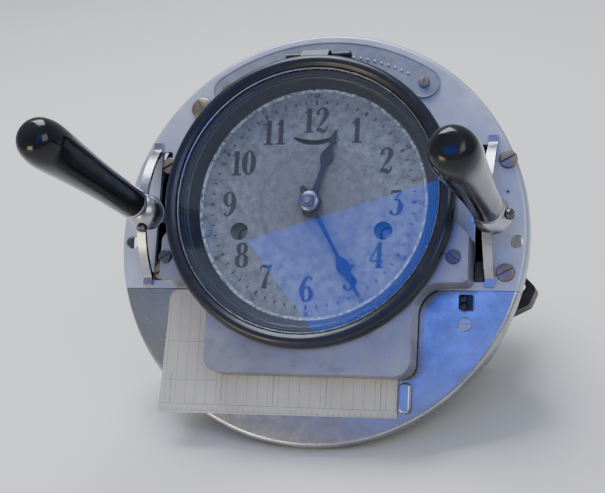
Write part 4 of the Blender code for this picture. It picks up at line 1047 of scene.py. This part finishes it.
def area_light(name, at, size, power, colour):
    """A square lamp that points at the middle of the object."""
    data = bpy.data.lights.new(name, "AREA")
    data.shape = "SQUARE"
    data.size = size
    data.energy = power
    data.color = colour
    lamp = linked(name, data)
    lamp.location = at
    lamp.rotation_euler = (Vector((0.0, 0.0, 0.1)) - Vector(at)).to_track_quat("-Z", "Y").to_euler()


def window_panel():
    """A blue pane far in front, which the clock's glass mirrors across its lower right."""
    corner, across, down = Vector((-388, 200, 1024)), Vector((430, 132, 0)), Vector((255, -310, 0))
    mesh = bpy.data.meshes.new("window_panel")
    mesh.from_pydata([corner * MM, (corner + across) * MM, (corner + across + down) * MM,
                      (corner + down) * MM], [], [(0, 1, 2, 3)])
    panel = linked("window_panel", mesh)
    panel.matrix_world = PLATE
    glow = bpy.data.materials.new("window_panel")
    glow.use_nodes = True
    tree = glow.node_tree
    shine = tree.nodes.new("ShaderNodeEmission")
    shine.inputs["Color"].default_value = (0.05, 0.14, 1.0, 1.0)
    shine.inputs["Strength"].default_value = 3.4
    tree.links.new(shine.outputs[0], tree.nodes["Material Output"].inputs["Surface"])
    mesh.materials.append(glow)


def studio():
    bm = bmesh.new()
    bmesh.ops.create_grid(bm, x_segments=2, y_segments=2, size=3.0)
    mesh = bpy.data.meshes.new("studio_floor")
    bm.to_mesh(mesh)
    bm.free()
    floor = linked("studio_floor", mesh)
    paint = bpy.data.materials.new("studio_floor")
    paint.use_nodes = True
    shader = paint.node_tree.nodes["Principled BSDF"]
    shader.inputs["Base Color"].default_value = (0.74, 0.72, 0.66, 1.0)
    shader.inputs["Roughness"].default_value = 0.75
    mesh.materials.append(paint)

    world = bpy.data.worlds.new("studio")
    world.use_nodes = True
    back = world.node_tree.nodes["Background"]
    back.inputs["Color"].default_value = (0.72, 0.79, 0.92, 1.0)
    back.inputs["Strength"].default_value = 0.50
    bpy.context.scene.world = world
    area_light("overhead", (-0.35, 0.45, 1.5), 0.9, 34, (0.82, 0.88, 1.0))
    area_light("side_bounce", (-0.55, -0.95, 0.16), 0.4, 4.0, (1.0, 0.84, 0.50))
    area_light("front_fill", (0.9, -0.9, 1.0), 0.8, 7, (0.80, 0.87, 1.0))
    window_panel()


def camera():
    """A long lens in front of the plate, below and to the right of its middle."""
    data = bpy.data.cameras.new("camera")
    data.sensor_width = 36.0
    data.lens = 77.5
    made = linked("camera", data)
    right, up = Vector((0.9574, 0.0560, -0.2833)), Vector((0.0012, 0.9802, 0.1980))
    back = right.cross(up).normalized()
    up = back.cross(right.normalized())
    turn = Matrix((right.normalized(), up, back)).transposed().to_4x4()
    made.matrix_world = PLATE @ Matrix.Translation(Vector((196.8, -140.8, 663.6)) * MM) @ turn
    bpy.context.scene.camera = made


def main():
    camera()
    studio()
    movement_looks()
    cover_plate()
    lever_stops()
    nickel_table()
    nameplate()
    printing_head()
    bezel()
    hinge_leaf()
    dial_plate()
    dial_printing()
    hands()
    lock()
    for name in SIDE:
        guide_arch(name)
        lever_arm(name)
        handle(name)
    iron_case()
    fixing_ears()
    foot_rail()
    back_cover()
    ticket()
    type_ribbon()


main()
